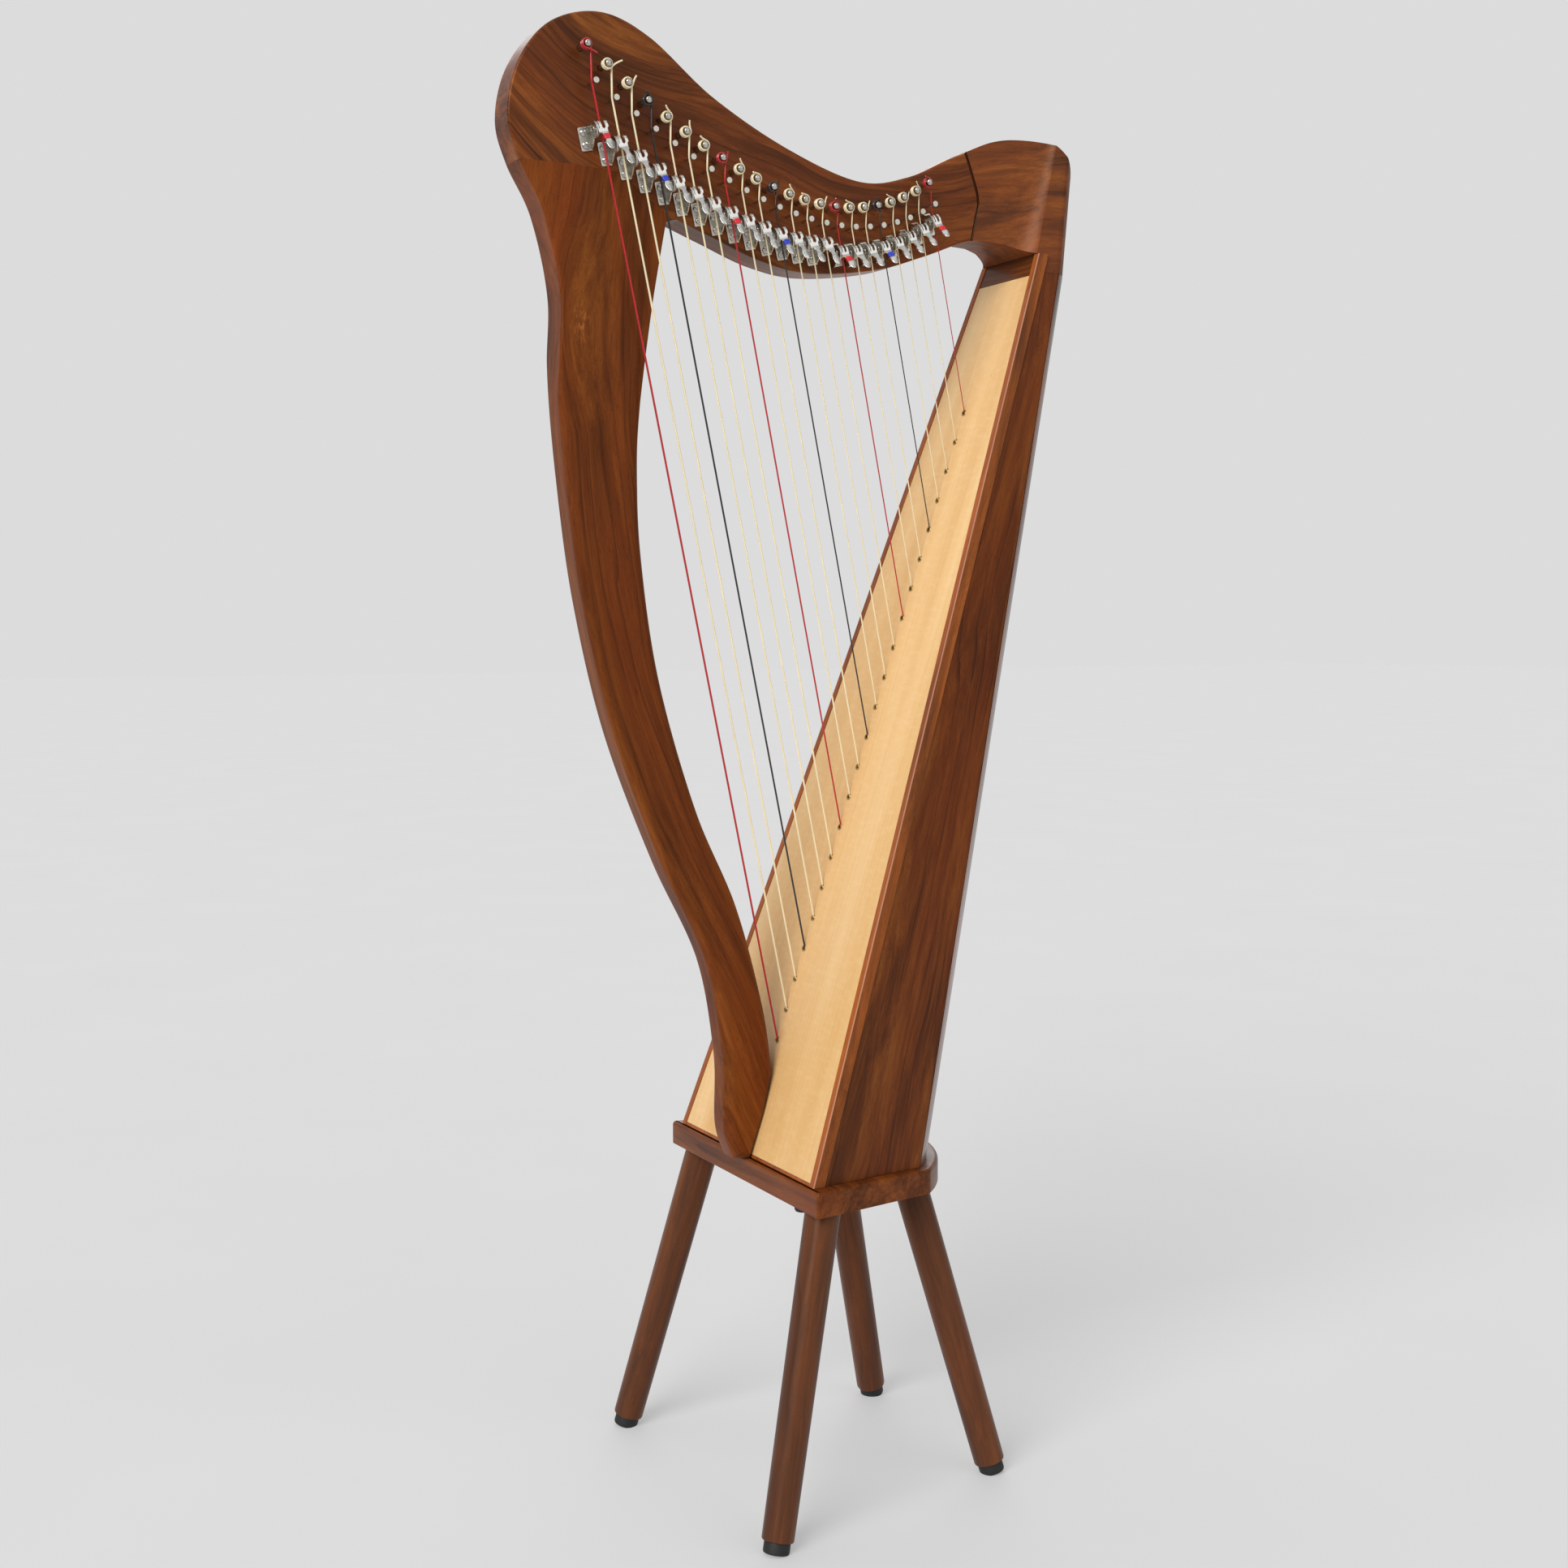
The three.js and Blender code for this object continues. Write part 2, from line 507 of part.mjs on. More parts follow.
// ---------------------------------------------------------------- levers
// A bent sheet: a forked shell round the rivet that lets the string through, then a grip.
function leverBody({ cheek, tines: [outerLeft, left, right, outerRight], gripAngle, reach }) {
  const inner = SHELL_RADIUS - SHEET;
  const tip = 115; // degrees from the neck's side, over the top, to the fork's ends
  const slotLow = -1.2;
  const bendZ = -3;
  const grip = THREE.MathUtils.degToRad(gripAngle);
  const tipY = -SHELL_RADIUS - Math.sin(grip) * reach;
  const tipZ = bendZ - Math.cos(grip) * reach;
  const sheet = [
    ...arc(0, 0, SHELL_RADIUS, tip, 180, 4), [-SHELL_RADIUS, bendZ], [tipY, tipZ],
    [tipY + SHEET * 0.8, tipZ - SHEET * 0.3], [-inner, bendZ - 0.4], ...arc(0, 0, inner, 180, tip, 4),
  ];
  const bent = slabYZ(sheet, cheek, outerRight);
  const waist = 1.9;
  const spoon = 3.2;
  const outline = [
    [cheek, slotLow - 1], [outerLeft, slotLow - 1], [outerLeft, 9], [left, 9], [left, slotLow], [right, slotLow],
    [right, 9], [outerRight, 9], [outerRight, -4.5], [waist, -7.5], [waist, -9.5], [spoon, tipZ + 6],
    [spoon, tipZ + 3], [1.6, tipZ - 1], [-1.6, tipZ - 1], [-spoon, tipZ + 3], [-spoon, tipZ + 6],
    [-waist, -9.5], [-waist, -7.5], [cheek, -4.5],
  ];
  const front = slabXZ(outline, -30, 10);
  const disc = new THREE.CylinderGeometry(SHELL_RADIUS - 0.2, SHELL_RADIUS - 0.2, 1, 9);
  disc.rotateZ(Math.PI / 2);
  disc.translate(cheek + 0.5, 0, 0);
  const bore = new THREE.CylinderGeometry(RIVET_HOLE, RIVET_HOLE, 6, 6);
  bore.rotateZ(Math.PI / 2);
  bore.translate(cheek, 0, 0);
  return bent.intersect(front).add(solid(disc)).subtract(solid(bore));
}
const levers = {
  bass: leverBody({ cheek: -5.3, tines: [-3.9, -1.5, 1.5, 4.1], gripAngle: 28, reach: 18 }),
  treble: leverBody({ cheek: -4.5, tines: [-2.9, -1.1, 1.1, 2.8], gripAngle: 36, reach: 16 }),
};
for (const s of strings) {
  const lever = addPart(nameOf('lever', s.number), s.number > BASS_LEVERS ? levers.treble : levers.bass, nickel());
  lever.rotation.y = -s.lean;
  lever.position.copy(s.pivot);
}

export default harp;
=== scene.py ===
"""Looks for a 22-string lever harp on four screw-in legs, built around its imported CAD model.

Shapes are worked out in the drawing's millimetres (x from the pillar to the soundbox, z up, strings on
the -Y side) and turned into metres when a mesh is made.
"""

import math

import bmesh
import bpy
import numpy as np
from mathutils import Matrix, Vector


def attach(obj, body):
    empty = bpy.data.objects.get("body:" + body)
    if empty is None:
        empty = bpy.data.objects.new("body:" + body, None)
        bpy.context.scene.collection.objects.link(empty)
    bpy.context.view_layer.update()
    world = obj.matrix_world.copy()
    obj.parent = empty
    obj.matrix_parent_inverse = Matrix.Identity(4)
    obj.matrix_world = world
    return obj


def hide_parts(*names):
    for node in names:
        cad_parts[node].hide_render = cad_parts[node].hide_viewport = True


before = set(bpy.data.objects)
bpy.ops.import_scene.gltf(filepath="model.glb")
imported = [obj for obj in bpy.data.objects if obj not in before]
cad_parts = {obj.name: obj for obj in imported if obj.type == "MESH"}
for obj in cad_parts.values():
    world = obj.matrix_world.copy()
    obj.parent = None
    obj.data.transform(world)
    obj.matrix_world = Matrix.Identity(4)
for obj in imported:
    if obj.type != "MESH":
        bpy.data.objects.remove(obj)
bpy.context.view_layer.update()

ROOT = "harp_frame"
MM = 0.001
CENTRE_X = 1.5       # the drawing's x at the frame's origin
CORNER_STEPS = 3     # edges in a rounded corner of an outline
rad = math.radians

# ------------------------------------------------------------------ dimensions, in mm
FACE = -16.0
FRONT_EDGE = [(-69, 294), (-78, 322), (-79, 385), (-96, 469), (-140, 559), (-184, 670), (-211, 780),
              (-225, 880), (-232, 965), (-231, 1030), (-245, 1093), (-266, 1134), (-275, 1168),
              (-265, 1210), (-237, 1244), (-194, 1257), (-150, 1243), (-92, 1202), (-21, 1168),
              (50, 1148), (101, 1157), (152, 1181), (205, 1200)]
UNDER_EDGE = [(205, 1112), (166, 1107), (118, 1089), (68, 1073), (2, 1064.5), (-46, 1070.5),
              (-92, 1086), (-126, 1098)]
BACK_EDGE = [(-136, 1095), (-149, 1025), (-158.5, 956), (-163, 890), (-160, 815), (-144, 713),
             (-110, 602), (-71, 515), (-47, 427), (-37.5, 366)]
NECK_JOINT = [(-300, 1132), (-222, 1133), (-179, 1131), (-136, 1101), (-100, 1070)]
SHOULDER_JOINT = [(156, 1196), (168, 1166), (175, 1143), (172, 1126), (166, 1095)]

BOX_LOW, BOX_HIGH, SIDE_HIGH = 292.0, 1096.8, 1080.0
BOARD_TILT, BOARD_FOOT_X = 0.3467, -57.3
# measures of the soundbox: value at its foot, change per mm of height
BOARD_HALF, SIDE_BACK_X = (126.1, -0.1), (56, 0.239)
SIDE_BACK_HALF, BACK_RISE = (112.8, -0.086), (50, -0.033)
BOARD_THICK, PANEL_THICK, RAIL_WIDE, RAIL_DEEP = 4.3, 4.5, 7.5, 11.0
GAP = 0.3            # clearance between the soundbox's parts
RIB_THICK = 6.0
BOARD_SUNK = 0.5     # how far the soundboard and trims lie below the rails
BELLY = 1.8          # how far the strings have pulled the soundboard up
TOP_TRIM, BOTTOM_TRIM = 21.0, 2.6
SOUND_HOLES = [(430, 44, 30), (640, 37, 24), (840, 30, 18)]     # height, half length, half width

BASE_THICK, BASE_FRONT_X, BASE_FRONT_HALF = 21.9, -61.0, 140.0
BASE_SIDE_X, BASE_SIDE_HALF, BASE_BACK_X = 61.5, 120.7, 118.0
BASE_CORNER, BASE_ROUND = 2.2, 3.8
# where each leg's middle meets the base board and the floor
LEGS = {"front_near": ((-41, -114), (-106.5, -151.2)), "front_far": ((-41, 114), (-106.5, 151.2)),
        "rear_near": ((74.5, -64.5), (140.8, -104.7)), "rear_far": ((74.5, 64.5), (140.8, 104.7))}
LEG_RADII = (15.3, 13.7)     # at the top and at the foot
SOCKET_RADIUS, STUD_RADII = 6.2, (3.5, 4.0)
BUMPERS = [(-50.5, -96), (-42, 92), (88, -34), (88, 34)]
FOOT_RADIUS, FOOT_HIGH = 11.2, 10.0

STRINGS = 22
BRIDGE_ROW = [(-206, 1197), (-81, 1116), (29, 1072), (118, 1132)]
TUNING_ROW = [(-213, 1225), (-86, 1129), (24, 1087), (112, 1150)]
FIRST_HOLE, HOLE_PITCH, HOLE_RADIUS = 105.4, 28.4, 2.2
STRING_RADII = (0.9, 0.4)
STRING_OUT, PIVOT_OUT = 13.0, 12.0      # how far strings and lever rivets stand out from the neck
COIL_RADIUS, BRIDGE_PIN_RADIUS = 4.1, 1.2
COIL_WIRE = 0.75                        # radius that thicker strings taper to where they wind on
BASS_LEVERS = 14
SHEET, CHEEK_THICK = 1.2, 1.0
EAR, CHEEK, SHELL = 6.9, 6.3, 5.9       # radii of a bracket's ear, a lever's cheek and its shell
FOLD_DROP = 3.0                         # where the lever's shell ends and its grip begins
SPOON = 2.95                            # half the width of the lever's spoon
# Bass strings have a larger kind of lever (True) than treble strings (False).
# how far the rivet lies below the bridge pin: at the first such string, change per string
LEVER_DROPS = {True: (37.3, -1.5), False: (22, -1)}
# bracket: wall, then the plate's left, right, low and high edges
BRACKETS = {True: (-6.8, -15.6, -5.6, -14.5, 4.5), False: (-6.0, -6.0, 5.0, -11.0, 8.5)}
# lever: cheek, the tines' outer left, gap and outer right, grip's angle and reach
LEVER_SHAPES = {True: (-5.3, (-3.9, 1.5, 4.1), 28, 18), False: (-4.5, (-2.9, 1.1, 2.8), 36, 16)}
RED_STRINGS, DARK_STRINGS = (1, 8, 15, 22), (4, 11, 18)


# ------------------------------------------------------------------ curves and solids
def catmull(points, steps):
    """A curve through the points, evenly stepped by point number."""
    p = np.array(points, float)
    out = []
    for k in range(steps + 1):
        at = (len(p) - 1) * k / steps
        i = min(int(at), len(p) - 2)
        t = at - i
        a, b, c, d = p[max(i - 1, 0)], p[i], p[i + 1], p[min(i + 2, len(p) - 1)]
        m0, m1 = (c - a) / 2, (d - b) / 2
        out.append((2 * b - 2 * c + m0 + m1) * t**3 + (3 * c - 3 * b - 2 * m0 - m1) * t**2 + m0 * t + b)
    return np.array(out)


def bezier(points, t):
    p = np.array(points, float)
    s = 1 - t
    if len(p) == 3:
        return s * s * p[0] + 2 * s * t * p[1] + t * t * p[2]
    return s**3 * p[0] + 3 * s * s * t * p[1] + 3 * s * t * t * p[2] + t**3 * p[3]


def resample(points, step):
    """The polyline's points, evenly spaced along its length."""
    p = np.array(points, float)
    along = np.concatenate([[0], np.cumsum(np.linalg.norm(np.diff(p, axis=0), axis=1))])
    n = max(int(round(along[-1] / step)), 1)
    at = np.linspace(0, along[-1], n + 1)
    return np.stack([np.interp(at, along, p[:, k]) for k in range(p.shape[1])], 1)


def unit(rows):
    """Each row scaled to length one."""
    return rows / np.linalg.norm(rows, axis=1)[:, None]


def inward(outline):
    """For each point of a closed outline, the way that moves both its edges in by one."""
    turn = unit(outline - np.roll(outline, 1, 0)) + unit(np.roll(outline, -1, 0) - outline)
    side = np.stack([-turn[:, 1], turn[:, 0]], 1)
    return side / np.maximum(np.sum(side * side, axis=1) / 2, 0.6)[:, None]


def polar(radius, turn):
    return radius * math.cos(turn), radius * math.sin(turn)


def round_turns(count):
    """Angles all the way round, evenly spaced."""
    return np.linspace(0, 2 * math.pi, count + 1)[:-1]


def straight(line, z):
    """A measure of the soundbox at a height: (value at its foot, change per mm)."""
    return line[0] + line[1] * (z - BOX_LOW)


def board_x(z):
    return BOARD_FOOT_X + BOARD_TILT * (z - BOX_LOW)


def smoothstep(a, b, x):
    t = np.clip((np.asarray(x, float) - a) / (b - a), 0, 1)
    return t * t * (3 - 2 * t)


def back_arc(x, half, rise, steps):
    """Plan points [x, y] on the round back, from -half to half."""
    radius = (half * half + rise * rise) / (2 * rise)
    spread = math.asin(half / radius)
    turn = np.linspace(-spread, spread, steps + 1)
    return np.stack([x + rise - radius + radius * np.cos(turn), radius * np.sin(turn)], 1)


class Shape:
    """Points and faces of one piece, gathered from several closed solids."""

    def __init__(self):
        self.v, self.f = [], []

    def add(self, solid, matrix=None):
        v, f = solid
        v = np.asarray(v, float)
        if matrix is not None:
            m = np.array(matrix)
            v = v @ m[:3, :3].T + m[:3, 3]
        base = len(self.v)
        self.v.extend(v.tolist())
        self.f.extend([tuple(base + i for i in face) for face in f])
        return self

    def mesh(self, name, angle, looks=()):
        """Its mesh in metres, with edges sharper than angle kept."""
        mesh = bpy.data.meshes.new(name)
        mesh.from_pydata(((np.array(self.v) - (CENTRE_X, 0, 0)) * MM).tolist(), [], self.f)
        for look in looks:
            mesh.materials.append(look)
        tidy(mesh, angle)
        return mesh

    def piece(self, name, looks, body=ROOT, slot=None, replaces=(), angle=40, weighted=True):
        """The finished object, riding on its body and standing for the CAD nodes that it replaces."""
        mesh = self.mesh(name, angle, looks if isinstance(looks, list) else [looks])
        obj = linked(name, mesh)
        if weighted:
            even = obj.modifiers.new("even", "WEIGHTED_NORMAL")
            even.keep_sharp, even.weight = True, 80
        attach(obj, body)
        if replaces:
            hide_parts(*replaces)
        return obj


def tidy(mesh, angle):
    """Faces out, smooth apart from the real edges."""
    bm = bmesh.new()
    bm.from_mesh(mesh)
    bmesh.ops.recalc_face_normals(bm, faces=bm.faces)
    for face in bm.faces:
        face.smooth = True
    bm.to_mesh(mesh)
    bm.free()
    mesh.set_sharp_from_angle(angle=rad(angle))
    mesh.update()


def loft(rings):
    """A closed solid skinned over rings of points that all have the same count."""
    n = len(rings[0])
    verts = [tuple(p) for ring in rings for p in ring]
    faces = []
    for r in range(len(rings) - 1):
        for i in range(n):
            j = (i + 1) % n
            faces.append((r * n + i, r * n + j, (r + 1) * n + j, (r + 1) * n + i))
    faces.append(tuple(reversed(range(n))))
    faces.append(tuple(range((len(rings) - 1) * n, len(rings) * n)))
    return verts, faces


def revolve(profile, sides=24):
    """Turns (radius, height) points about Z; ends on the axis close to a point."""
    verts, faces, rows = [], [], []
    for r, h in profile:
        if r < 1e-6:
            rows.append([len(verts)] * sides)
            verts.append((0, 0, h))
        else:
            rows.append(list(range(len(verts), len(verts) + sides)))
            verts += [(*polar(r, 2 * math.pi * k / sides), h) for k in range(sides)]
    for a, b in zip(rows, rows[1:]):
        for k in range(sides):
            j = (k + 1) % sides
            face = list(dict.fromkeys((a[k], a[j], b[j], b[k])))
            if len(face) > 2:
                faces.append(tuple(face))
    return verts, faces


def ring_solid(profile, sides=24):
    """Turns a closed (radius, height) outline about Z, such as a washer's."""
    verts, faces = [], []
    n = len(profile)
    for k in range(sides):
        verts += [(*polar(r, 2 * math.pi * k / sides), h) for r, h in profile]
    for k in range(sides):
        for i in range(n):
            a, b = k * n + i, k * n + (i + 1) % n
            c, d = ((k + 1) % sides) * n + (i + 1) % n, ((k + 1) % sides) * n + i
            faces.append((a, b, c, d))
    return verts, faces


def sweep(points, radius, sides=10, round_ends=True):
    """A round tube through the points; radius may change along it."""
    p = np.array(points, float)
    radii = np.broadcast_to(radius, (len(p),)).astype(float)
    along = unit(np.gradient(p, axis=0))
    side = np.cross(along[0], (0.3, 0.9, 0.2))
    rings = []
    for i in range(len(p)):
        side = side - along[i] * (side @ along[i])
        side /= np.linalg.norm(side)
        over = np.cross(along[i], side)
        turn = np.arange(sides) * 2 * math.pi / sides
        circle = np.outer(np.cos(turn), side) + np.outer(np.sin(turn), over)
        rings.append(p[i] + circle * radii[i])
    if round_ends:
        for sign, at in ((-1, 0), (1, len(p) - 1)):
            last = rings[0 if sign < 0 else -1]
            for grow, out in ((0.8, 0.27), (0.35, 0.45)):
                ring = p[at] + (last - p[at]) * grow + along[at] * sign * out * radii[at]
                rings.insert(0 if sign < 0 else len(rings), ring)
    return loft(rings)


def slab(outline, y0, y1, wide, deep, steps=6):
    """An XZ outline with thickness along Y, its edges rounded.

    wide and deep give each outline point's rounding: in from the side, and down from the face."""
    p = np.array(outline, float)
    wide = np.broadcast_to(wide, (len(p),)).astype(float)
    deep = np.broadcast_to(deep, (len(p),)).astype(float)
    area = np.sum(p[:, 0] * np.roll(p[:, 1], -1) - np.roll(p[:, 0], -1) * p[:, 1])
    if area < 0:
        p, wide, deep = p[::-1], wide[::-1], deep[::-1]
    rings, way_in = [], inward(p)
    for side, y in ((1, y0), (-1, y1)):
        turns = np.linspace(0, math.pi / 2, steps + 1)
        for t in turns if side > 0 else turns[::-1]:
            q = p + way_in * (wide * (1 - math.sin(t)))[:, None]
            rings.append(np.stack([q[:, 0], y + side * deep * (1 - math.cos(t)), q[:, 1]], 1))
    return loft(rings)


def prism(outline, y0, y1):
    p = np.array(outline, float)
    return loft([np.stack([p[:, 0], np.full(len(p), y), p[:, 1]], 1) for y in (y0, y1)])


def rounded_bar(corners0, corners1, round_by):
    """A straight bar between two four-cornered ends, its long edges rounded."""
    rings = []
    a0, a1 = np.array(corners0, float), np.array(corners1, float)
    length = np.linalg.norm(a1.mean(0) - a0.mean(0))
    for t, shrink in ((0, 1), (round_by / length, 0), (1 - round_by / length, 0), (1, 1)):
        c = a0 + (a1 - a0) * t
        mid = c.mean(0)
        ring = fillet(c, round_by)
        rings.append(ring - unit(ring - mid) * round_by * 0.7 if shrink else ring)
    return loft(rings)


def evaluated(obj):
    """The object with its modifiers applied."""
    bpy.context.view_layer.update()
    return obj.evaluated_get(bpy.context.evaluated_depsgraph_get())


def cut(obj, solid, how="DIFFERENCE", lining=None):
    """Cuts a piece with a solid, in the drawing's millimetres, and keeps the result as its mesh.

    lining is the material of the new faces, if it isn't the piece's own."""
    mesh = Shape().add(solid).mesh("tool", 30, [lining] if lining else [])
    tool = linked("tool", mesh)
    kept = [m for m in obj.modifiers if m.show_viewport]
    for m in kept:
        m.show_viewport = False
    boolean = obj.modifiers.new("cut", "BOOLEAN")
    boolean.operation, boolean.solver, boolean.object = how, "EXACT", tool
    if lining:
        boolean.material_mode = "TRANSFER"
    done = bpy.data.meshes.new_from_object(evaluated(obj))
    obj.modifiers.remove(boolean)
    for m in kept:
        m.show_viewport = True
    old, obj.data = obj.data, done
    done.name = obj.name
    bpy.data.objects.remove(tool)
    bpy.data.meshes.remove(mesh)
    bpy.data.meshes.remove(old)
    tidy(obj.data, 40)
    return obj


def linked(name, data):
    """A new object in the scene."""
    obj = bpy.data.objects.new(name, data)
    bpy.context.scene.collection.objects.link(obj)
    return obj


def bevel(obj, width, segments, angle):
    """Rounds the edges sharper than angle, by width in mm."""
    made = obj.modifiers.new("bevel", "BEVEL")
    made.width, made.segments = width * MM, segments
    made.limit_method, made.angle_limit = "ANGLE", rad(angle)
    return made


def place(origin, x_axis=(1, 0, 0), z_axis=(0, 0, 1)):
    """A matrix with its Z along z_axis, and its X as near x_axis as it can be."""
    z = Vector(z_axis).normalized()
    x = Vector(x_axis)
    x = (x - z * x.dot(z)).normalized()
    y = z.cross(x)
    m = Matrix((x, y, z)).transposed().to_4x4()
    m.translation = Vector(origin)
    return m


def fillet(points, radii):
    """A closed outline with its corners rounded."""
    p = np.array(points, float)
    out = []
    for k, r in enumerate(np.broadcast_to(radii, (len(p),))):
        here, back, ahead = p[k], p[k - 1], p[(k + 1) % len(p)]
        start = here + (back - here) / np.linalg.norm(back - here) * r
        end = here + (ahead - here) / np.linalg.norm(ahead - here) * r
        out += [bezier([start, here, end], s) for s in np.linspace(0, 1, CORNER_STEPS + 1)]
    return np.array(out)


def column(plan_at, levels):
    """A solid with a plan outline at each height."""
    return loft([[(x, y, z) for x, y in plan_at(z)] for z in levels])


def mirrored(solid):
    v, f = solid
    return np.array(v) * (1, -1, 1), f


def slab_yz(outline, x0, x1, round_by=0.3, steps=2):
    """A YZ outline with thickness along X."""
    v, f = slab(outline, x0, x1, round_by, round_by, steps)
    return np.array(v)[:, [1, 0, 2]], f


def rod(radius, from_point, to_point, sides=24):
    a, b = np.array(from_point, float), np.array(to_point, float)
    long = np.linalg.norm(b - a)
    v, f = revolve([(0, 0), (radius, 0), (radius, long), (0, long)], sides)
    m = np.array(place(a, (0.3, 0.9, 0.1), b - a))
    return np.array(v) @ m[:3, :3].T + m[:3, 3], f


def finished(solid, thickness=0.0, edge=0.0, cutters=()):
    """A solid after thickening, cutting and bevelling, as points in mm and faces."""
    obj = Shape().add(solid).piece("blank", NICKEL, weighted=False)
    for cutter in cutters:
        cut(obj, cutter)
    if thickness:
        thick = obj.modifiers.new("thick", "SOLIDIFY")
        thick.thickness, thick.offset, thick.use_even_offset = thickness * MM, 0, True
    if edge:
        bevel(obj, edge, 2, 40)
    done = evaluated(obj).to_mesh()
    v = np.array([p.co for p in done.vertices]) / MM + (CENTRE_X, 0, 0)
    f = [tuple(face.vertices) for face in done.polygons]
    mesh = obj.data
    bpy.data.objects.remove(obj)
    bpy.data.meshes.remove(mesh)
    return v, f


# ------------------------------------------------------------------ materials
class Graph:
    """A short way to write a node material."""

    def __init__(self, name):
        self.material = bpy.data.materials.new(name)
        self.material.use_nodes = True
        self.tree = self.material.node_tree
        self.tree.nodes.clear()
        self.shader = self.tree.nodes.new("ShaderNodeBsdfPrincipled")
        out = self.tree.nodes.new("ShaderNodeOutputMaterial")
        self.tree.links.new(self.shader.outputs[0], out.inputs[0])
        self.here = self.node("TexCoord").outputs["Object"]

    def plug(self, socket, value):
        if isinstance(value, bpy.types.Node):
            value = value.outputs[0]
        if isinstance(value, bpy.types.NodeSocket):
            self.tree.links.new(value, socket)
        else:
            socket.default_value = value

    def node(self, kind, inputs=(), **settings):
        made = self.tree.nodes.new("ShaderNode" + kind)
        for key, value in settings.items():
            setattr(made, key, value)
        for key, value in dict(inputs).items():
            self.plug(made.inputs[key], value)
        return made

    def math(self, operation, a, b=0.0, c=0.0):
        return self.node("Math", {0: a, 1: b, 2: c}, operation=operation)

    def vector(self, operation, a, b=(0, 0, 0)):
        return self.node("VectorMath", {0: a, 1: b}, operation=operation)

    def dot(self, a, b):
        return self.vector("DOT_PRODUCT", a, b).outputs["Value"]

    def stretched(self, at, scales):
        return self.vector("MULTIPLY", at, scales)

    def times(self, a, b):
        return self.math("MULTIPLY", a, b)

    def noise(self, at, scale, detail=3.0, rough=0.5):
        """Noise at one scale, or at a scale for each axis."""
        if isinstance(scale, tuple):
            at, scale = self.stretched(at, scale), 1.0
        return self.node("TexNoise", {"Vector": at, "Scale": scale, "Detail": detail,
                                      "Roughness": rough}).outputs["Fac"]

    def ramp(self, fac, *stops):
        made = self.node("ValToRGB", {"Fac": fac})
        band = made.color_ramp
        for k, (at, color) in enumerate(stops):
            stop = band.elements[k] if k < 2 else band.elements.new(at)
            stop.position = at
            stop.color = color
        return made.outputs["Color"]

    def mix(self, fac, a, b):
        made = self.node("Mix", data_type="RGBA")
        self.plug(made.inputs[0], fac)
        self.plug(made.inputs[6], a)
        self.plug(made.inputs[7], b)
        return made.outputs[2]

    def fit(self, value, low, high, to_low=0.0, to_high=1.0):
        return self.node("MapRange", {0: value, 1: low, 2: high, 3: to_low, 4: to_high}).outputs[0]

    def bump(self, height, strength, distance):
        return self.node("Bump", {"Height": height, "Strength": strength, "Distance": distance})

    def set(self, **values):
        for key, value in values.items():
            self.plug(self.shader.inputs[key.replace("_", " ")], value)
        return self


def linear(code, light=1.0):
    """A linear colour from a hex code."""
    out = []
    for k in (0, 2, 4):
        c = int(code[k:k + 2], 16) / 255
        out.append((c / 12.92 if c <= 0.04045 else ((c + 0.055) / 1.055) ** 2.4) * light)
    return (*out, 1)


def grain_space(g, along, across, bend=None):
    """Coordinates in metres with X along the grain. bend is (low, high, [(u, offset) ...]) in mm."""
    at = g.here
    u_axis = Vector(along).normalized()
    v_axis = Vector(across)
    v_axis = (v_axis - u_axis * v_axis.dot(u_axis)).normalized()
    w_axis = u_axis.cross(v_axis)
    u, v, w = (g.dot(at, tuple(axis)) for axis in (u_axis, v_axis, w_axis))
    if bend:
        low, high, points = bend
        curve = g.node("FloatCurve", {"Value": g.fit(u, low * MM, high * MM)})
        track = curve.mapping.curves[0]
        span = max(abs(o) for _, o in points) * 2
        for k, (pos, offset) in enumerate(points):
            x, y = (pos - low) / (high - low), offset / span + 0.5
            if k < 2:
                track.points[k].location = (x, y)
            else:
                track.points.new(x, y)
        curve.mapping.update()
        v = g.math("SUBTRACT", v, g.math("MULTIPLY_ADD", curve, span * MM, -span * MM / 2))
    return g.node("CombineXYZ", {0: u, 1: v, 2: w})


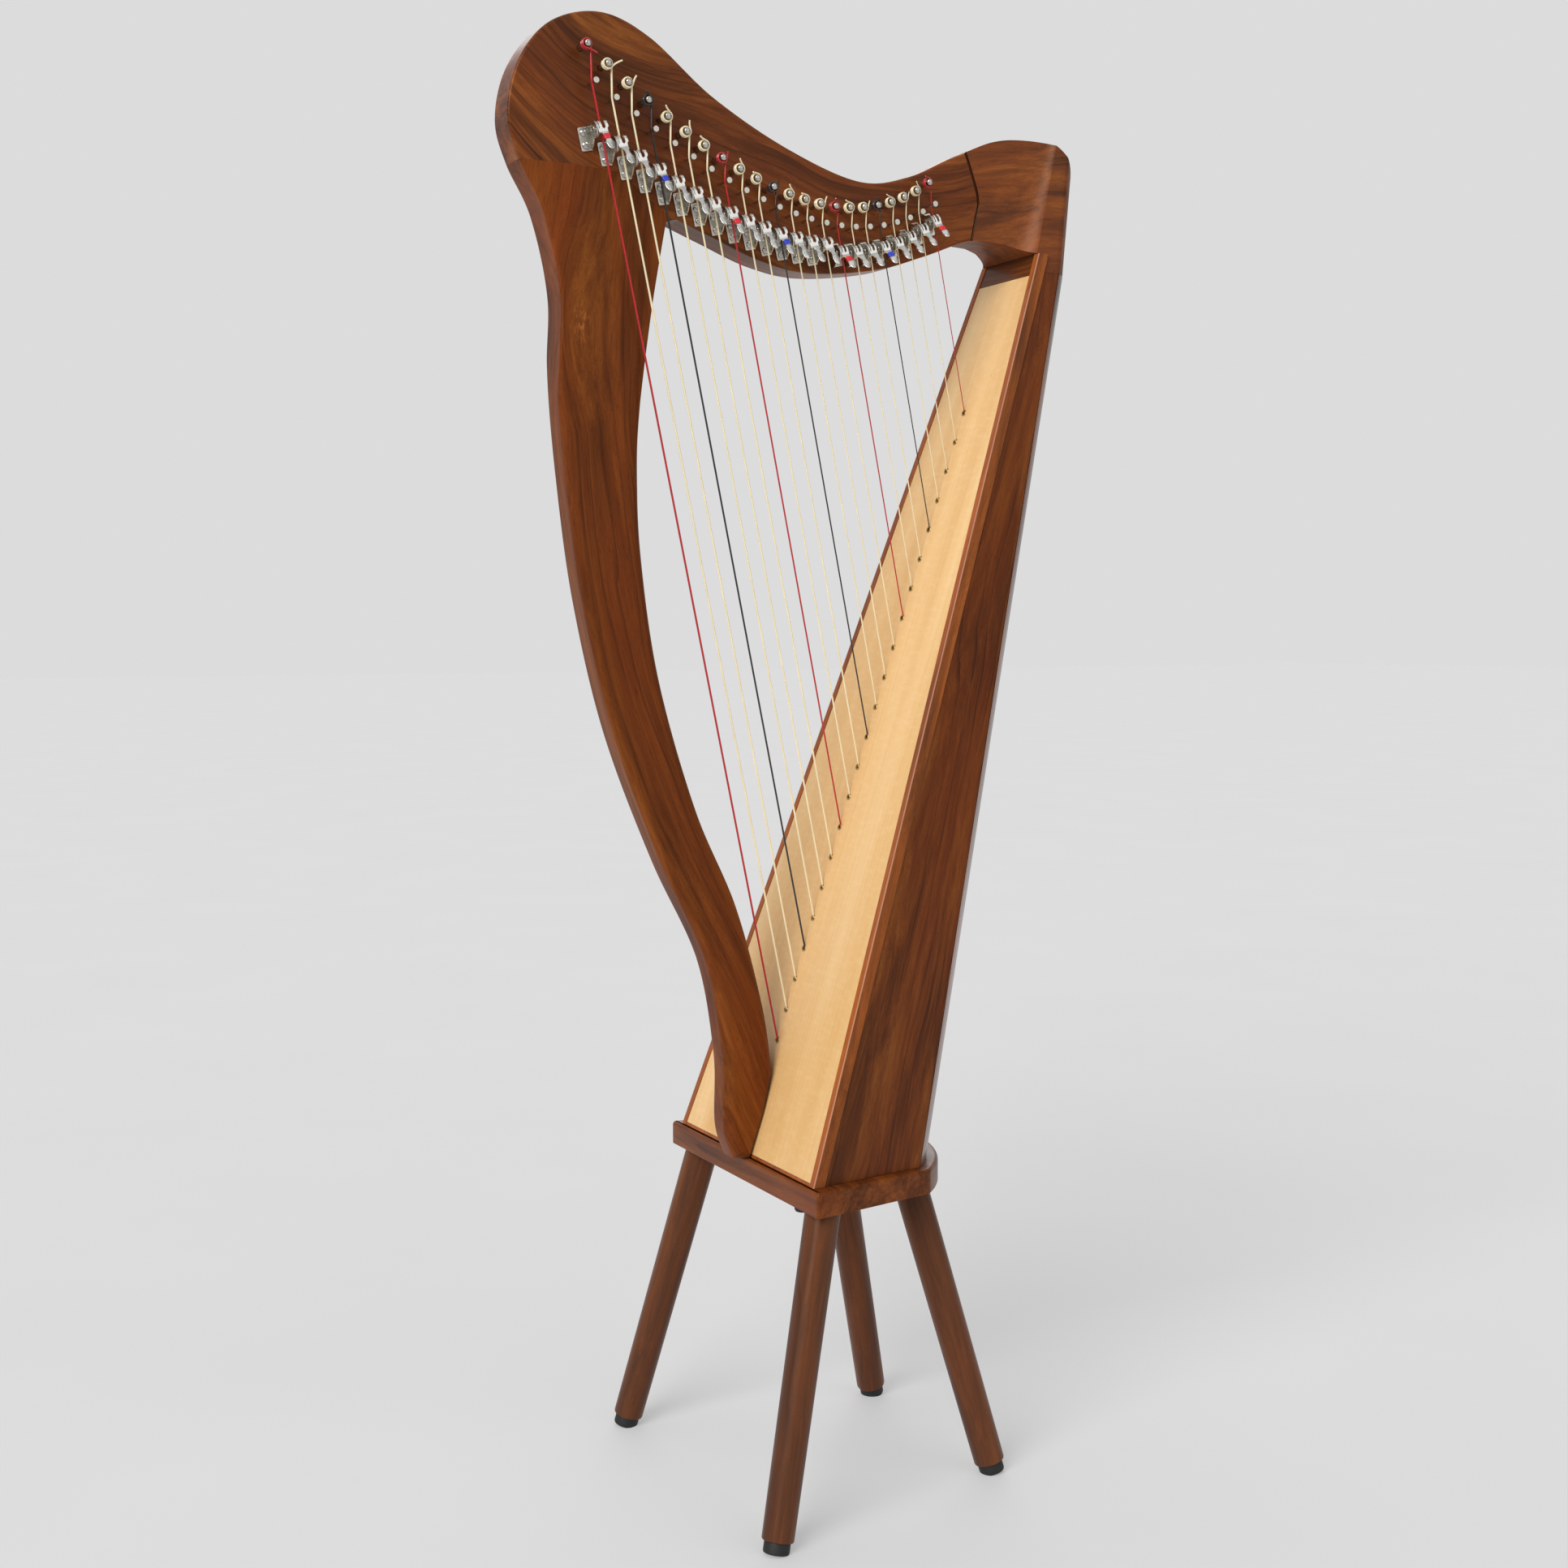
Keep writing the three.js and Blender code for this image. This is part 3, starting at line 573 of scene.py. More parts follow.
def rosewood(name, along, across, bend=None, seed=0.0, light=1.0, red=0.5, knot=None, figure=1.0,
             contrast=1.0, rough=0.3, coat=0.05, shine=0.25, paleness=0.0):
    """Varnished reddish-brown hardwood: dark streaks, fine pores and growth lines along its grain."""
    g = Graph(name)
    at = g.vector("ADD", grain_space(g, along, across, bend), (seed, seed * 0.37, seed * 0.61))
    if knot:
        centre, size = knot
        where = g.vector("SUBTRACT", g.here, centre)
        far = g.vector("LENGTH", g.stretched(where, (1 / size, 0.3 / size, 0.5 / size))).outputs["Value"]
        swirl = g.times(g.fit(far, 1.6, 0.0), 0.012)
        at = g.vector("ADD", at, g.node("CombineXYZ", {1: swirl, 2: swirl}))
        flecks = g.fit(g.noise(at, (150, 520, 520), detail=2), 0.48, 0.66, 0.0, 0.7)
        flecks = g.times(g.fit(far, 0.4, 0.05), flecks)
    wander = g.noise(at, (3.2, 13, 13), detail=2)
    pushed = g.math("MULTIPLY_ADD", wander, 0.05 * figure, -0.025 * figure)
    at = g.vector("ADD", at, g.node("CombineXYZ", {1: pushed, 2: pushed}))
    broad = g.noise(at, (3.5, 42, 42), detail=3, rough=0.55)
    streak = g.noise(at, (9, 190, 190), detail=4, rough=0.62)
    fibre = g.noise(at, (38, 1300, 1300), detail=2)
    pore = g.noise(at, (95, 2600, 2600), detail=1)
    tone = g.math("MULTIPLY_ADD", streak, 0.45, g.times(broad, 0.55))
    tone = g.math("MULTIPLY_ADD", tone, contrast, 0.5 - 0.5 * contrast)
    color = g.ramp(tone, (0.35, linear("2a1307", light)), (0.44, linear("4a250e", light)),
                   (0.52, linear("6c3814", light)), (0.61, linear("884c1c", light)),
                   (0.72, linear("a3642a", light)))
    warm = g.noise(at, (2.1, 16, 16), detail=2)
    color = g.mix(g.fit(warm, 0.35, 0.75, 0.0, red), color, linear("883e16", light))
    rings = g.node("TexWave", {"Vector": g.stretched(at, (0.9, 26, 26)), "Scale": 1.0,
                               "Distortion": 5.0, "Detail": 3.0, "Detail Scale": 1.6},
                   wave_type="BANDS", bands_direction="Y", wave_profile="SAW")
    line = g.fit(rings.outputs["Fac"], 0.80, 1.0)
    line = g.times(line, g.fit(broad, 0.62, 0.38))
    color = g.mix(g.times(line, 0.75 * contrast), color, linear("26110a", light))
    color = g.mix(g.fit(fibre, 0.35, 0.7, 0.28, 0.0), color, linear("3a1c10", light))
    dark = g.fit(pore, 0.66, 0.74)
    color = g.mix(g.times(dark, 0.7), color, linear("1d0c06", light))
    if knot:
        color = g.mix(flecks, color, linear("a8652e"))
    # paleness mixes the colour towards a pale pink; on the shoulder and rail edges it is a painted highlight
    if paleness:
        color = g.mix(paleness, color, linear("d8ab95"))
    height = g.math("MULTIPLY_ADD", dark, -0.7, g.times(fibre, 0.35))
    gloss = g.noise(at, (6, 30, 30), detail=2)
    return g.set(Base_Color=color, Roughness=g.fit(gloss, 0.3, 0.7, rough, rough + 0.12),
                 Normal=g.bump(height, 0.25, 0.0002), Coat_Weight=coat, Coat_Roughness=0.25,
                 Specular_IOR_Level=shine, Specular_Tint=(1.0, 0.6, 0.4, 1)).material


def spruce(name, along, across, seed=0.0):
    """Pale soundboard wood: close straight grain, silk across it, a few mineral specks, and painted shade
    towards its foot.
    """
    g = Graph(name)
    at = g.vector("ADD", grain_space(g, along, across), (seed, seed, seed))
    wander = g.noise(at, (2.0, 9, 9), detail=1)
    pushed = g.math("MULTIPLY_ADD", wander, 0.012, -0.006)
    at = g.vector("ADD", at, g.node("CombineXYZ", {1: pushed}))
    broad = g.noise(at, (1.4, 22, 3), detail=3)
    grain = g.noise(at, (3.0, 420, 60), detail=2, rough=0.6)
    height = g.node("SeparateXYZ", {0: g.here}).outputs[2]
    silk = g.noise(at, (260, 90, 90), detail=1)
    color = g.ramp(broad, (0.30, linear("d7a768")), (0.5, linear("e3b87b")), (0.72, linear("efcb95")))
    # painted shade: the board darkens towards its foot
    color = g.mix(g.fit(height, 0.28, 0.85, 0.42, 0.0), color, linear("c2914f"))
    color = g.mix(g.fit(grain, 0.42, 0.75, 0.0, 0.2), color, linear("c08c4c"))
    color = g.mix(g.fit(silk, 0.45, 0.8, 0.0, 0.14), color, linear("f6dcae"))
    speck = g.noise(at, (130, 210, 130), detail=0)
    color = g.mix(g.fit(speck, 0.86, 0.9, 0.0, 0.35), color, linear("a87c42"))
    return g.set(Base_Color=color, Roughness=g.fit(grain, 0.3, 0.7, 0.40, 0.50),
                 Normal=g.bump(grain, 0.12, 0.0001), Coat_Weight=0.25, Coat_Roughness=0.3).material


def metal(name, tint, rough, spread=0.08, scratch=0.15, grime=0.0):
    """Plated metal with fine polishing marks and uneven gloss."""
    g = Graph(name)
    at = g.here
    cloud = g.noise(at, 260, 3)
    marks = g.noise(at, (2200, 2200, 350), 2)
    color = g.ramp(cloud, (0.3, linear(tint, 0.86)), (0.7, linear(tint, 1.0)))
    if grime:
        spots = g.noise(at, 420, 4, 0.7)
        color = g.mix(g.fit(spots, 0.5, 0.78, 0.0, grime), color, linear("3b352c"))
    return g.set(Base_Color=color, Metallic=1.0, Roughness=g.fit(cloud, 0.3, 0.7, rough, rough + spread),
                 Normal=g.bump(marks, scratch, 0.00004)).material


def plastic(name, tint, rough, grain_scale=900, strength=0.1, coat=0.0, vary=0.12):
    """Moulded plastic, nylon or rubber: slight mottling and a fine surface."""
    g = Graph(name)
    at = g.here
    cloud = g.noise(at, 60, 3)
    grit = g.noise(at, grain_scale, 2)
    color = g.ramp(cloud, (0.3, linear(tint, 1 - vary)), (0.7, linear(tint, 1.0)))
    return g.set(Base_Color=color, Roughness=g.fit(grit, 0.3, 0.7, rough - 0.05, rough + 0.05),
                 Normal=g.bump(grit, strength, 0.00008), Coat_Weight=coat).material


NICKEL = metal("nickel_polished", "f0eee9", 0.22, 0.10)
NICKEL_DULL = metal("nickel_dull", "d2cec4", 0.2, 0.14, 0.25, 0.3)
STEEL = metal("steel_pin", "c4c1ba", 0.20, 0.12, 0.3, 0.15)
BRASS = metal("brass_eyelet", "b9975a", 0.28, 0.14, 0.2, 0.35)
RUBBER = plastic("rubber_black", "111110", 0.62, 700, 0.3)
STRING_LOOKS = {"cream": plastic("nylon_cream", "efe0b8", 0.32, 1500, 0.05, 0.3),
                "red": plastic("nylon_red", "b3121d", 0.30, 1500, 0.05, 0.3),
                "dark": plastic("nylon_dark", "1a1a1c", 0.30, 1500, 0.05, 0.3)}
SLEEVE_LOOKS = {"red": plastic("sleeve_red", "d02028", 0.38, 900, 0.05, 0.2),
                "blue": plastic("sleeve_blue", "2438b4", 0.38, 900, 0.05, 0.2)}

# ------------------------------------------------------------------ strings, by number from the bass
board_up = np.array([BOARD_TILT, 0, 1]) / math.hypot(BOARD_TILT, 1)
board_out = np.array([-1, 0, BOARD_TILT]) / math.hypot(BOARD_TILT, 1)
board_foot = np.array([BOARD_FOOT_X, 0, BOX_LOW])


class String:
    def __init__(self, i):
        t = i / (STRINGS - 1)
        self.number = i + 1
        self.radius = STRING_RADII[0] + (STRING_RADII[1] - STRING_RADII[0]) * t
        bridge, tuning = bezier(BRIDGE_ROW, t), bezier(TUNING_ROW, t)
        self.bridge, self.tuning = bridge, tuning
        self.hole = board_foot + board_up * (FIRST_HOLE + HOLE_PITCH * i)
        beside_pin = BRIDGE_PIN_RADIUS + 0.5 + self.radius
        self.bend = np.array([bridge[0] - beside_pin, FACE - STRING_OUT, bridge[1]])
        self.lean = math.atan2(self.hole[0] - self.bend[0], self.bend[2] - self.hole[2])
        self.bass = i < BASS_LEVERS
        first, step = LEVER_DROPS[self.bass]
        travel = first + step * (i if self.bass else i - BASS_LEVERS)
        self.pivot = np.array([self.bend[0] + travel * math.sin(self.lean), FACE - PIVOT_OUT,
                               self.bend[2] - travel * math.cos(self.lean)])
        self.tone = ("red" if self.number in RED_STRINGS
                     else "dark" if self.number in DARK_STRINGS else "cream")

    def label(self, kind):
        return f"{kind}_{self.number:02d}"

    def local(self, origin=None):
        """The lever's frame: X across the strings, -Y away from the neck, Z up the string."""
        c, s = math.cos(self.lean), math.sin(self.lean)
        return place(self.pivot if origin is None else origin, (c, 0, s), (-s, 0, c))


strings = [String(i) for i in range(STRINGS)]

# ------------------------------------------------------------------ neck and pillar
front = resample(catmull(FRONT_EDGE, 600), 2.5)
under = resample(catmull(UNDER_EDGE, 200), 2.5)
back = resample(catmull(BACK_EDGE, 300), 2.5)
toe = np.array([[BOARD_FOOT_X + BOARD_TILT * 40 - 1, BOX_LOW + 40], [BOARD_FOOT_X - 1.3, BOX_LOW + 0.3]])


def front_round(p):
    """Rounding of the outer edge: slight round the head, full down the pillar."""
    z, on_pillar = p[:, 1], p[:, 0] < -50
    low = np.where(on_pillar & (z < 1100), smoothstep(985, 935, z), 0)
    size = 2.6 + low * 4.4 + np.where(on_pillar, smoothstep(700, 450, z) * 2.0, 0)
    return size, size


def back_round(p):
    """The inner edge is square above, then a long shallow scoop runs out into a round edge."""
    z = p[:, 1]
    deep = 2.0 + 5.0 * smoothstep(985, 880, z) + 2.0 * smoothstep(700, 450, z)
    scoop = np.sin(np.clip((1000 - z) / 128, 0, 1) * math.pi) ** 1.5
    return deep + 17 * scoop, deep


def widened(p, deep):
    """The edge moved out by what its larger rounding takes off its silhouette."""
    along = unit(np.gradient(p, axis=0))
    grow = np.maximum(0.36 * (deep - 3.5), 0) + 1.6 * smoothstep(520, 400, p[:, 1])
    return p + np.stack([-along[:, 1], along[:, 0]], 1) * grow[:, None]


UNDER_ROUND, TOE_ROUND = 2.4, 3.0
rounds = [front_round(front), (np.full(len(under), UNDER_ROUND),) * 2,
          back_round(back), (np.full(len(toe), TOE_ROUND),) * 2]
wide, deep = (np.concatenate([r[k] for r in rounds]) for k in (0, 1))
outline = np.concatenate([widened(front, rounds[0][1]), under, widened(back, rounds[2][1]), toe])
silhouette = slab(outline, FACE, -FACE, wide, deep)

HUGE, WIDE = 60, 400    # past the neck's faces, and past the legs, for cutting solids
pillar_region = NECK_JOINT + [(-20, 1000), (-20, 280), (-320, 280), (-320, 1132)]
joint_line = [tuple(p) for p in catmull(SHOULDER_JOINT, 40)]
shoulder_region = joint_line + [(330, 1095), (330, 1230), (156, 1230)]
neck_region = joint_line + [(100, 1095), (100, 1230), (156, 1230)]
GLUE = 0.03          # clearance of the glued joints
GROOVE = 1.3         # radius of the groove along the joint with the shoulder

PILLAR_WOOD = rosewood("rosewood_pillar", (0, 0, 1), (1, 0, 0), seed=3.1, red=0.6, contrast=0.62,
                       shine=0.16, coat=0.0,
                       bend=(280, 1140, [(280, 24), (360, -12), (469, -62), (559, -104), (670, -150),
                                         (780, -180), (880, -196), (1000, -198), (1140, -190)]),
                       knot=((-0.215, -0.016, 1.006), 0.028))
# painted shade: a very dark copy of the wood that lines the grooves along the neck's joint with the shoulder
GROOVE_SHADE_WOOD = rosewood("rosewood_groove_shade", (0, 0, 1), (1, 0, 0), seed=9.9, red=0.1, light=0.22)
# painted highlight: a pale copy of the wood for the shoulder's rounded edges
EDGE_HIGHLIGHT_WOOD = rosewood("rosewood_edge_highlight", (0, 0, 1), (1, 0, 0), seed=8.3, red=0.2, light=1.6, paleness=0.5)
NECK_WOOD = rosewood("rosewood_neck", (1, 0, 0), (0, 0, 1), seed=7.7, red=0.4, figure=1.3,
                     bend=(-280, 200, [(-280, 72), (-245, 40), (-205, 14), (-160, 2), (-100, -8),
                                       (-30, -30), (40, -50), (110, -48), (200, -30)]))
pillar = Shape().add(silhouette).piece("pillar_board", PILLAR_WOOD, slot="rosewood", replaces=["pillar"])
cut(pillar, prism([(x, z - GLUE) for x, z in pillar_region], -HUGE, HUGE), "INTERSECT")
cut(pillar, prism([(board_x(BOX_LOW - 20) - 0.3, BOX_LOW - 20), (board_x(460) - 0.3, 460), (160, 460),
                   (160, BOX_LOW - 20)], -HUGE, HUGE))
neck = Shape().add(silhouette).piece("neck_board", NECK_WOOD, slot="rosewood", replaces=["neck"])
cut(neck, prism(pillar_region, -HUGE, HUGE))
cut(neck, prism([(x - GLUE, z) for x, z in shoulder_region], -HUGE, HUGE))
grooves = Shape()
for face in (FACE, -FACE):
    line = catmull([(151, 1208)] + SHOULDER_JOINT + [(164, 1080)], 60)
    grooves.add(sweep([(x, face, z) for x, z in line], GROOVE, 12))
# the groove's new faces take the painted shade
cut(neck, (grooves.v, grooves.f), lining=GROOVE_SHADE_WOOD)

# ------------------------------------------------------------------ shoulder block
SHOULDER_TOP = [(150, 1179.5), (170, 1189), (187, 1196), (205, 1200), (225, 1201), (241, 1199.5),
                (250, 1196), (259, 1188.5), (267, 1178), (274, 1164), (279.5, 1146), (290, 1080)]
SHOULDER_UNDER = [(227.4, SIDE_HIGH), (233.2, BOX_HIGH), (221, BOX_HIGH), (200, 1105), (185, 1107.5),
                  (140, 1107.5)]


def shoulder_plan(z):
    up = z - BOX_HIGH
    corner = (221 + 0.27 * up, 43.5 - 0.095 * up)
    half = -FACE
    rise = corner[1] - half
    controls = [(148, half), (corner[0] - 44, half), (corner[0] - 0.34 * rise, half + 0.34 * rise), corner]
    flare = [bezier(controls, t) for t in np.linspace(0, 1, 40)]
    rear_x, rear_half = straight(SIDE_BACK_X, SIDE_HIGH) + 0.15 * (z - SIDE_HIGH), straight(SIDE_BACK_HALF, z)
    side = np.linspace(corner, (rear_x, rear_half), 6)[1:-1]
    far = np.concatenate([flare, side])
    return np.concatenate([far * (1, -1), back_arc(rear_x, rear_half, straight(BACK_RISE, z), 40), far[::-1]])


SHOULDER_WOOD = rosewood("rosewood_shoulder", (1, 0, 0.12), (0, 0, 1), seed=11.3, red=0.6, rough=0.42,
                         shine=0.4, contrast=0.8)
block = column(shoulder_plan, np.linspace(SIDE_HIGH, 1215, 36))
shoulder = Shape().add(block).piece("shoulder_block_shaped", SHOULDER_WOOD, slot="rosewood",
                                    replaces=["shoulder_block"])
top = [tuple(p) for p in resample(catmull(SHOULDER_TOP, 120), 3)]
cut(shoulder, prism(top + SHOULDER_UNDER, -HUGE, HUGE), "INTERSECT")
cut(shoulder, prism(neck_region, -HUGE, HUGE))
# the shoulder's side of the grooves takes the same painted shade
cut(shoulder, (grooves.v, grooves.f), lining=GROOVE_SHADE_WOOD)
soften = bevel(shoulder, 1.1, 2, 42)
# the bevel's faces take the pale wood, a painted highlight along the shoulder's edges
shoulder.data.materials.append(EDGE_HIGHLIGHT_WOOD)
soften.material = len(shoulder.data.materials) - 1
shoulder.modifiers.move(1, 0)

# ------------------------------------------------------------------ soundbox
TRIM_TOP = BOX_HIGH - TOP_TRIM * board_up[2]
TRIM_LOW = BOX_LOW + BOTTOM_TRIM
BOARD_DEEP = BOARD_THICK / board_up[2]
RABBET = 4.0
LONG = (BOARD_TILT, 0, 1)


def board_half(z):
    return straight(BOARD_HALF, z)


def belly(z):
    up = (z - TRIM_LOW) / (TRIM_TOP - TRIM_LOW)
    return BELLY * math.sin(math.pi * min(max(up, 0), 1)) ** 0.7


def board_plan(z):
    """Front of the soundboard: sunk below the rails, and pulled up by the strings along its middle."""
    half = board_half(z) - RAIL_WIDE - GAP
    across = np.linspace(-1, 1, 17)
    front_x = board_x(z) + (BOARD_SUNK - belly(z) * (1 - across**2)) / board_up[2]
    rear_x = board_x(z) + BOARD_DEEP
    return [*zip(front_x, across * half), (rear_x, half), (rear_x, -half)]


SPRUCE = spruce("spruce_board", LONG, (0, 1, 0), seed=2.3)
board = Shape().add(column(board_plan, np.linspace(TRIM_LOW + GAP, TRIM_TOP - GAP, 60))).piece(
    "soundboard_spruce", SPRUCE, slot="spruce", replaces=["soundboard"], angle=30)
drills = Shape()
for s in strings:
    drills.add(rod(HOLE_RADIUS, s.hole + board_out * 6, s.hole - board_out * 10, 16))
cut(board, (drills.v, drills.f))


def rail_plan(z):
    x, half = board_x(z), board_half(z)
    deep, ledge = (BOARD_THICK + GAP) / board_up[2], half - RAIL_WIDE - RABBET
    return fillet([(x, half - RAIL_WIDE), (x, half), (x + RAIL_DEEP, half), (x + RAIL_DEEP, ledge),
                   (x + deep, ledge), (x + deep, half - RAIL_WIDE)], (0.5, 0.9, 0.4, 0.4, 0.4, 0.2))


RAIL_WOOD = rosewood("rosewood_rail", LONG, (0, 1, 0), seed=17.9, red=0.0, light=1.8, contrast=0.4)
RAIL_FACE = rosewood("rosewood_rail_face", LONG, (0, 1, 0), seed=23.3, red=0.4, light=2.4, contrast=0.4)
# painted highlight: a paler copy of the rail's face wood for its rounded outer corner
RAIL_EDGE_HIGHLIGHT = rosewood("rosewood_rail_edge_highlight", LONG, (0, 1, 0), seed=23.3, red=0.2, light=1.8, contrast=0.4,
                     paleness=0.35)
SIDE_WOOD = rosewood("rosewood_side", (0.29, 0, 1), (1, 0, 0), seed=21.9, red=0.65, light=0.74, contrast=1.1)
TRIM_WOOD = rosewood("rosewood_trim", (0, 1, 0), (0, 0, 1), seed=5.2, red=0.3, light=0.7)


def box_part(name, solid, looks):
    return Shape().add(solid).piece(name, looks, slot="rosewood", replaces=["soundbox_frame"])


for side, turn in (("near", mirrored), ("far", lambda solid: solid)):
    rail = column(rail_plan, (BOX_LOW + GAP, BOX_LOW + 0.8, 700, BOX_HIGH - 0.8, BOX_HIGH - GAP))
    strip = box_part(f"soundbox_rail_{side}", turn(rail), [RAIL_WOOD, RAIL_FACE, RAIL_EDGE_HIGHLIGHT])
    around = len(rail_plan(BOX_LOW))
    for face in strip.data.polygons[:4 * around]:
        if face.index % around <= 3:             # the strip beside the soundboard
            face.material_index = 1
        elif face.index % around <= 6:           # the rounded outer corner, paler as a painted highlight
            face.material_index = 2

    def panel_plan(z):
        front = (board_x(z) + RAIL_DEEP - 1, board_half(z) - 1)
        rear = (straight(SIDE_BACK_X, z), straight(SIDE_BACK_HALF, z))
        return fillet([(rear[0], rear[1] - PANEL_THICK), rear, front, (front[0], front[1] - PANEL_THICK)],
                      (0.3, 0.7, 0.5, 0.3))

    panel = column(panel_plan, np.linspace(BOX_LOW + GAP, SIDE_HIGH - GAP, 12))
    box_part(f"soundbox_side_{side}", turn(panel), SIDE_WOOD)


def trim(name, look, sunk, levels):
    """A strip across the front at one end of the soundboard, sunk below the rails."""
    def plan_at(z):
        front, rear, half = board_x(z) + sunk, board_x(z) + RAIL_DEEP, board_half(z) - RAIL_WIDE - 0.05
        return fillet([(front, -half), (front, half), (rear, half), (rear, -half)], 0.3)

    box_part(name, column(plan_at, levels), look)


trim("soundbox_trim_top", TRIM_WOOD, 0.7, (TRIM_TOP, TRIM_TOP + 0.4, BOX_HIGH - 0.7, BOX_HIGH - GAP))
trim("soundbox_trim_low", RAIL_FACE, BOARD_SUNK, (BOX_LOW + GAP, BOX_LOW + 0.5, TRIM_LOW - 0.3, TRIM_LOW))


def block_plan(z):
    rear, half = straight(SIDE_BACK_X, z) - 2, straight(SIDE_BACK_HALF, z) - PANEL_THICK - 0.1
    front = board_x(z) + RAIL_DEEP + 0.1
    return fillet([(front, -half), (rear, -half), (rear, half), (front, half)], 1.0)


box_part("soundbox_top_block", column(block_plan, (SIDE_HIGH - 26, SIDE_HIGH - 25, SIDE_HIGH - GAP)),
         SIDE_WOOD)

# ------------------------------------------------------------------ round back with its sound holes
BACK_WOOD = rosewood("rosewood_back", (0.2, 0, 1), (0, 1, 0), seed=31.4, red=0.5, coat=0.7)


def shell_plan(z):
    x, half, rise = straight(SIDE_BACK_X, z) + GAP, straight(SIDE_BACK_HALF, z), straight(BACK_RISE, z)
    inner = back_arc(x, half - PANEL_THICK, rise - PANEL_THICK, 56)
    return [*back_arc(x, half, rise, 56), *inner[::-1]]


shell = Shape().add(column(shell_plan, np.linspace(BOX_LOW + GAP, SIDE_HIGH - GAP, 30))).piece(
    "soundbox_back", BACK_WOOD, slot="rosewood_panel", replaces=["back_panel"], angle=30)
for z, tall, across in SOUND_HOLES:
    hole = [(across * math.cos(t), z + tall * math.sin(t)) for t in round_turns(48)]
    v, f = prism(hole, 60, 320)
    cut(shell, (np.array(v)[:, [1, 0, 2]], f))
bevel(shell, 1.2, 3, 40)
shell.modifiers.move(1, 0)

# ------------------------------------------------------------------ base board, legs, feet
BASE_WOOD = rosewood("rosewood_base", (0, 1, 0), (1, 0, 0), seed=41.7, red=0.5, light=1.0, contrast=0.7)
base_low = BOX_LOW - BASE_THICK
front_x, front_half = BASE_FRONT_X + BASE_CORNER, BASE_FRONT_HALF - BASE_CORNER
quarter = np.linspace(0, math.pi / 2, 7)
base_near = np.array([(front_x - BASE_CORNER * math.cos(t), -front_half - BASE_CORNER * math.sin(t))
                      for t in quarter])
round_end = back_arc(BASE_SIDE_X, BASE_SIDE_HALF, BASE_BACK_X - BASE_SIDE_X, 72)
near_side = resample([base_near[-1], round_end[0]], 4)[1:-1]
front_side = resample([(BASE_FRONT_X, front_half), (BASE_FRONT_X, -front_half)], 4)[1:-1]
base_plan = np.concatenate([base_near, near_side, round_end, near_side[::-1] * (1, -1),
                            base_near[::-1] * (1, -1), front_side])
base_inward = inward(base_plan)
# height, distance in: a small chamfer below and a round edge above
base_rings = [(base_low, 1.2), (base_low + 0.35, 0.35), (base_low + 1.2, 0)]
base_rings += [(BOX_LOW - BASE_ROUND * (1 - math.sin(t)), BASE_ROUND * (1 - math.cos(t))) for t in quarter]
base = loft([[(x, y, z) for x, y in base_plan + base_inward * by] for z, by in base_rings])
base = Shape().add(base).piece("base_board_rounded", BASE_WOOD, slot="rosewood", replaces=["base_board"],
                               angle=28)
sockets, studs, inserts = Shape(), Shape(), Shape()
above_legs, below_floor = (prism([(-WIDE, low), (WIDE, low), (WIDE, high), (-WIDE, high)], -WIDE, WIDE)
                           for low, high in ((base_low - 0.3, 420), (-60, 0)))
for number, (spot, (top_xy, floor_xy)) in enumerate(LEGS.items()):
    low, high = np.array([*floor_xy, 0.0]), np.array([*top_xy, base_low])
    long = np.linalg.norm(high - low)
    axis = (high - low) / long
    frame_m = place(low, (0, 1, 0), axis)
    wood = rosewood(f"rosewood_leg_{spot}", axis, (1, 0, 0), seed=51.3 + 3.7 * number, red=0.3, light=0.6,
                    contrast=0.7, paleness=0.035)
    start, low_r, top_r = FOOT_HIGH + 0.2, LEG_RADII[1], LEG_RADII[0]
    profile = [(0, start), (low_r - 1.4, start), (low_r - 0.4, start + 0.4), (low_r, start + 1.6)]
    profile += [(low_r + (top_r - low_r) * t, start + 1.6 + (long + 18 - start) * t)
                for t in (0.25, 0.5, 0.75, 1)]
    leg = Shape().add(revolve(profile + [(0, profile[-1][1])], 48), frame_m).piece(
        f"leg_turned_{spot}", wood, slot="rosewood", replaces=[f"leg_{spot}"])
    cut(leg, above_legs)
    rubber = [(0, 0), (FOOT_RADIUS - 1.6, 0), (FOOT_RADIUS - 0.5, 0.5), (FOOT_RADIUS, 1.7),
              (FOOT_RADIUS, FOOT_HIGH - 1.5), (FOOT_RADIUS - 0.5, FOOT_HIGH - 0.2),
              (FOOT_RADIUS - 1.5, FOOT_HIGH), (0, FOOT_HIGH)]
    foot = Shape().add(revolve(rubber, 40), frame_m).piece(
        f"foot_rubber_{spot}", RUBBER, slot="rubber", replaces=[f"foot_{spot}"])
    cut(foot, below_floor)
    sockets.add(rod(SOCKET_RADIUS, low + axis * (long - 8), low + axis * (long + 16)))
    thread = [(0, long - 12)]
    for k in range(26):
        thread += [(STUD_RADII[0], long - 11.5 + k), (STUD_RADII[1], long - 11.0 + k)]
    studs.add(revolve(thread + [(0, thread[-1][1] + 0.3)], 20), frame_m)
    sleeve = [(4.3, 1.5), (SOCKET_RADIUS - 0.1, 1.5), (SOCKET_RADIUS - 0.1, 15.8), (4.3, 15.8)]
    inserts.add(ring_solid([(r, long + h) for r, h in sleeve], 24), frame_m)
cut(base, (sockets.v, sockets.f))
studs.piece("leg_studs", STEEL, slot="steel")
inserts.piece("leg_inserts", BRASS, slot="steel")
bumpers = Shape()
for x, y in BUMPERS:
    pad = [(0, -5.5), (4.6, -5.5), (6.2, -5.0), (7.0, -3.8), (7.6, -0.6), (7.6, 0), (0, 0)]
    bumpers.add(revolve(pad, 28), place((x, y, base_low)))
bumpers.piece("base_bumpers", RUBBER, slot="rubber")

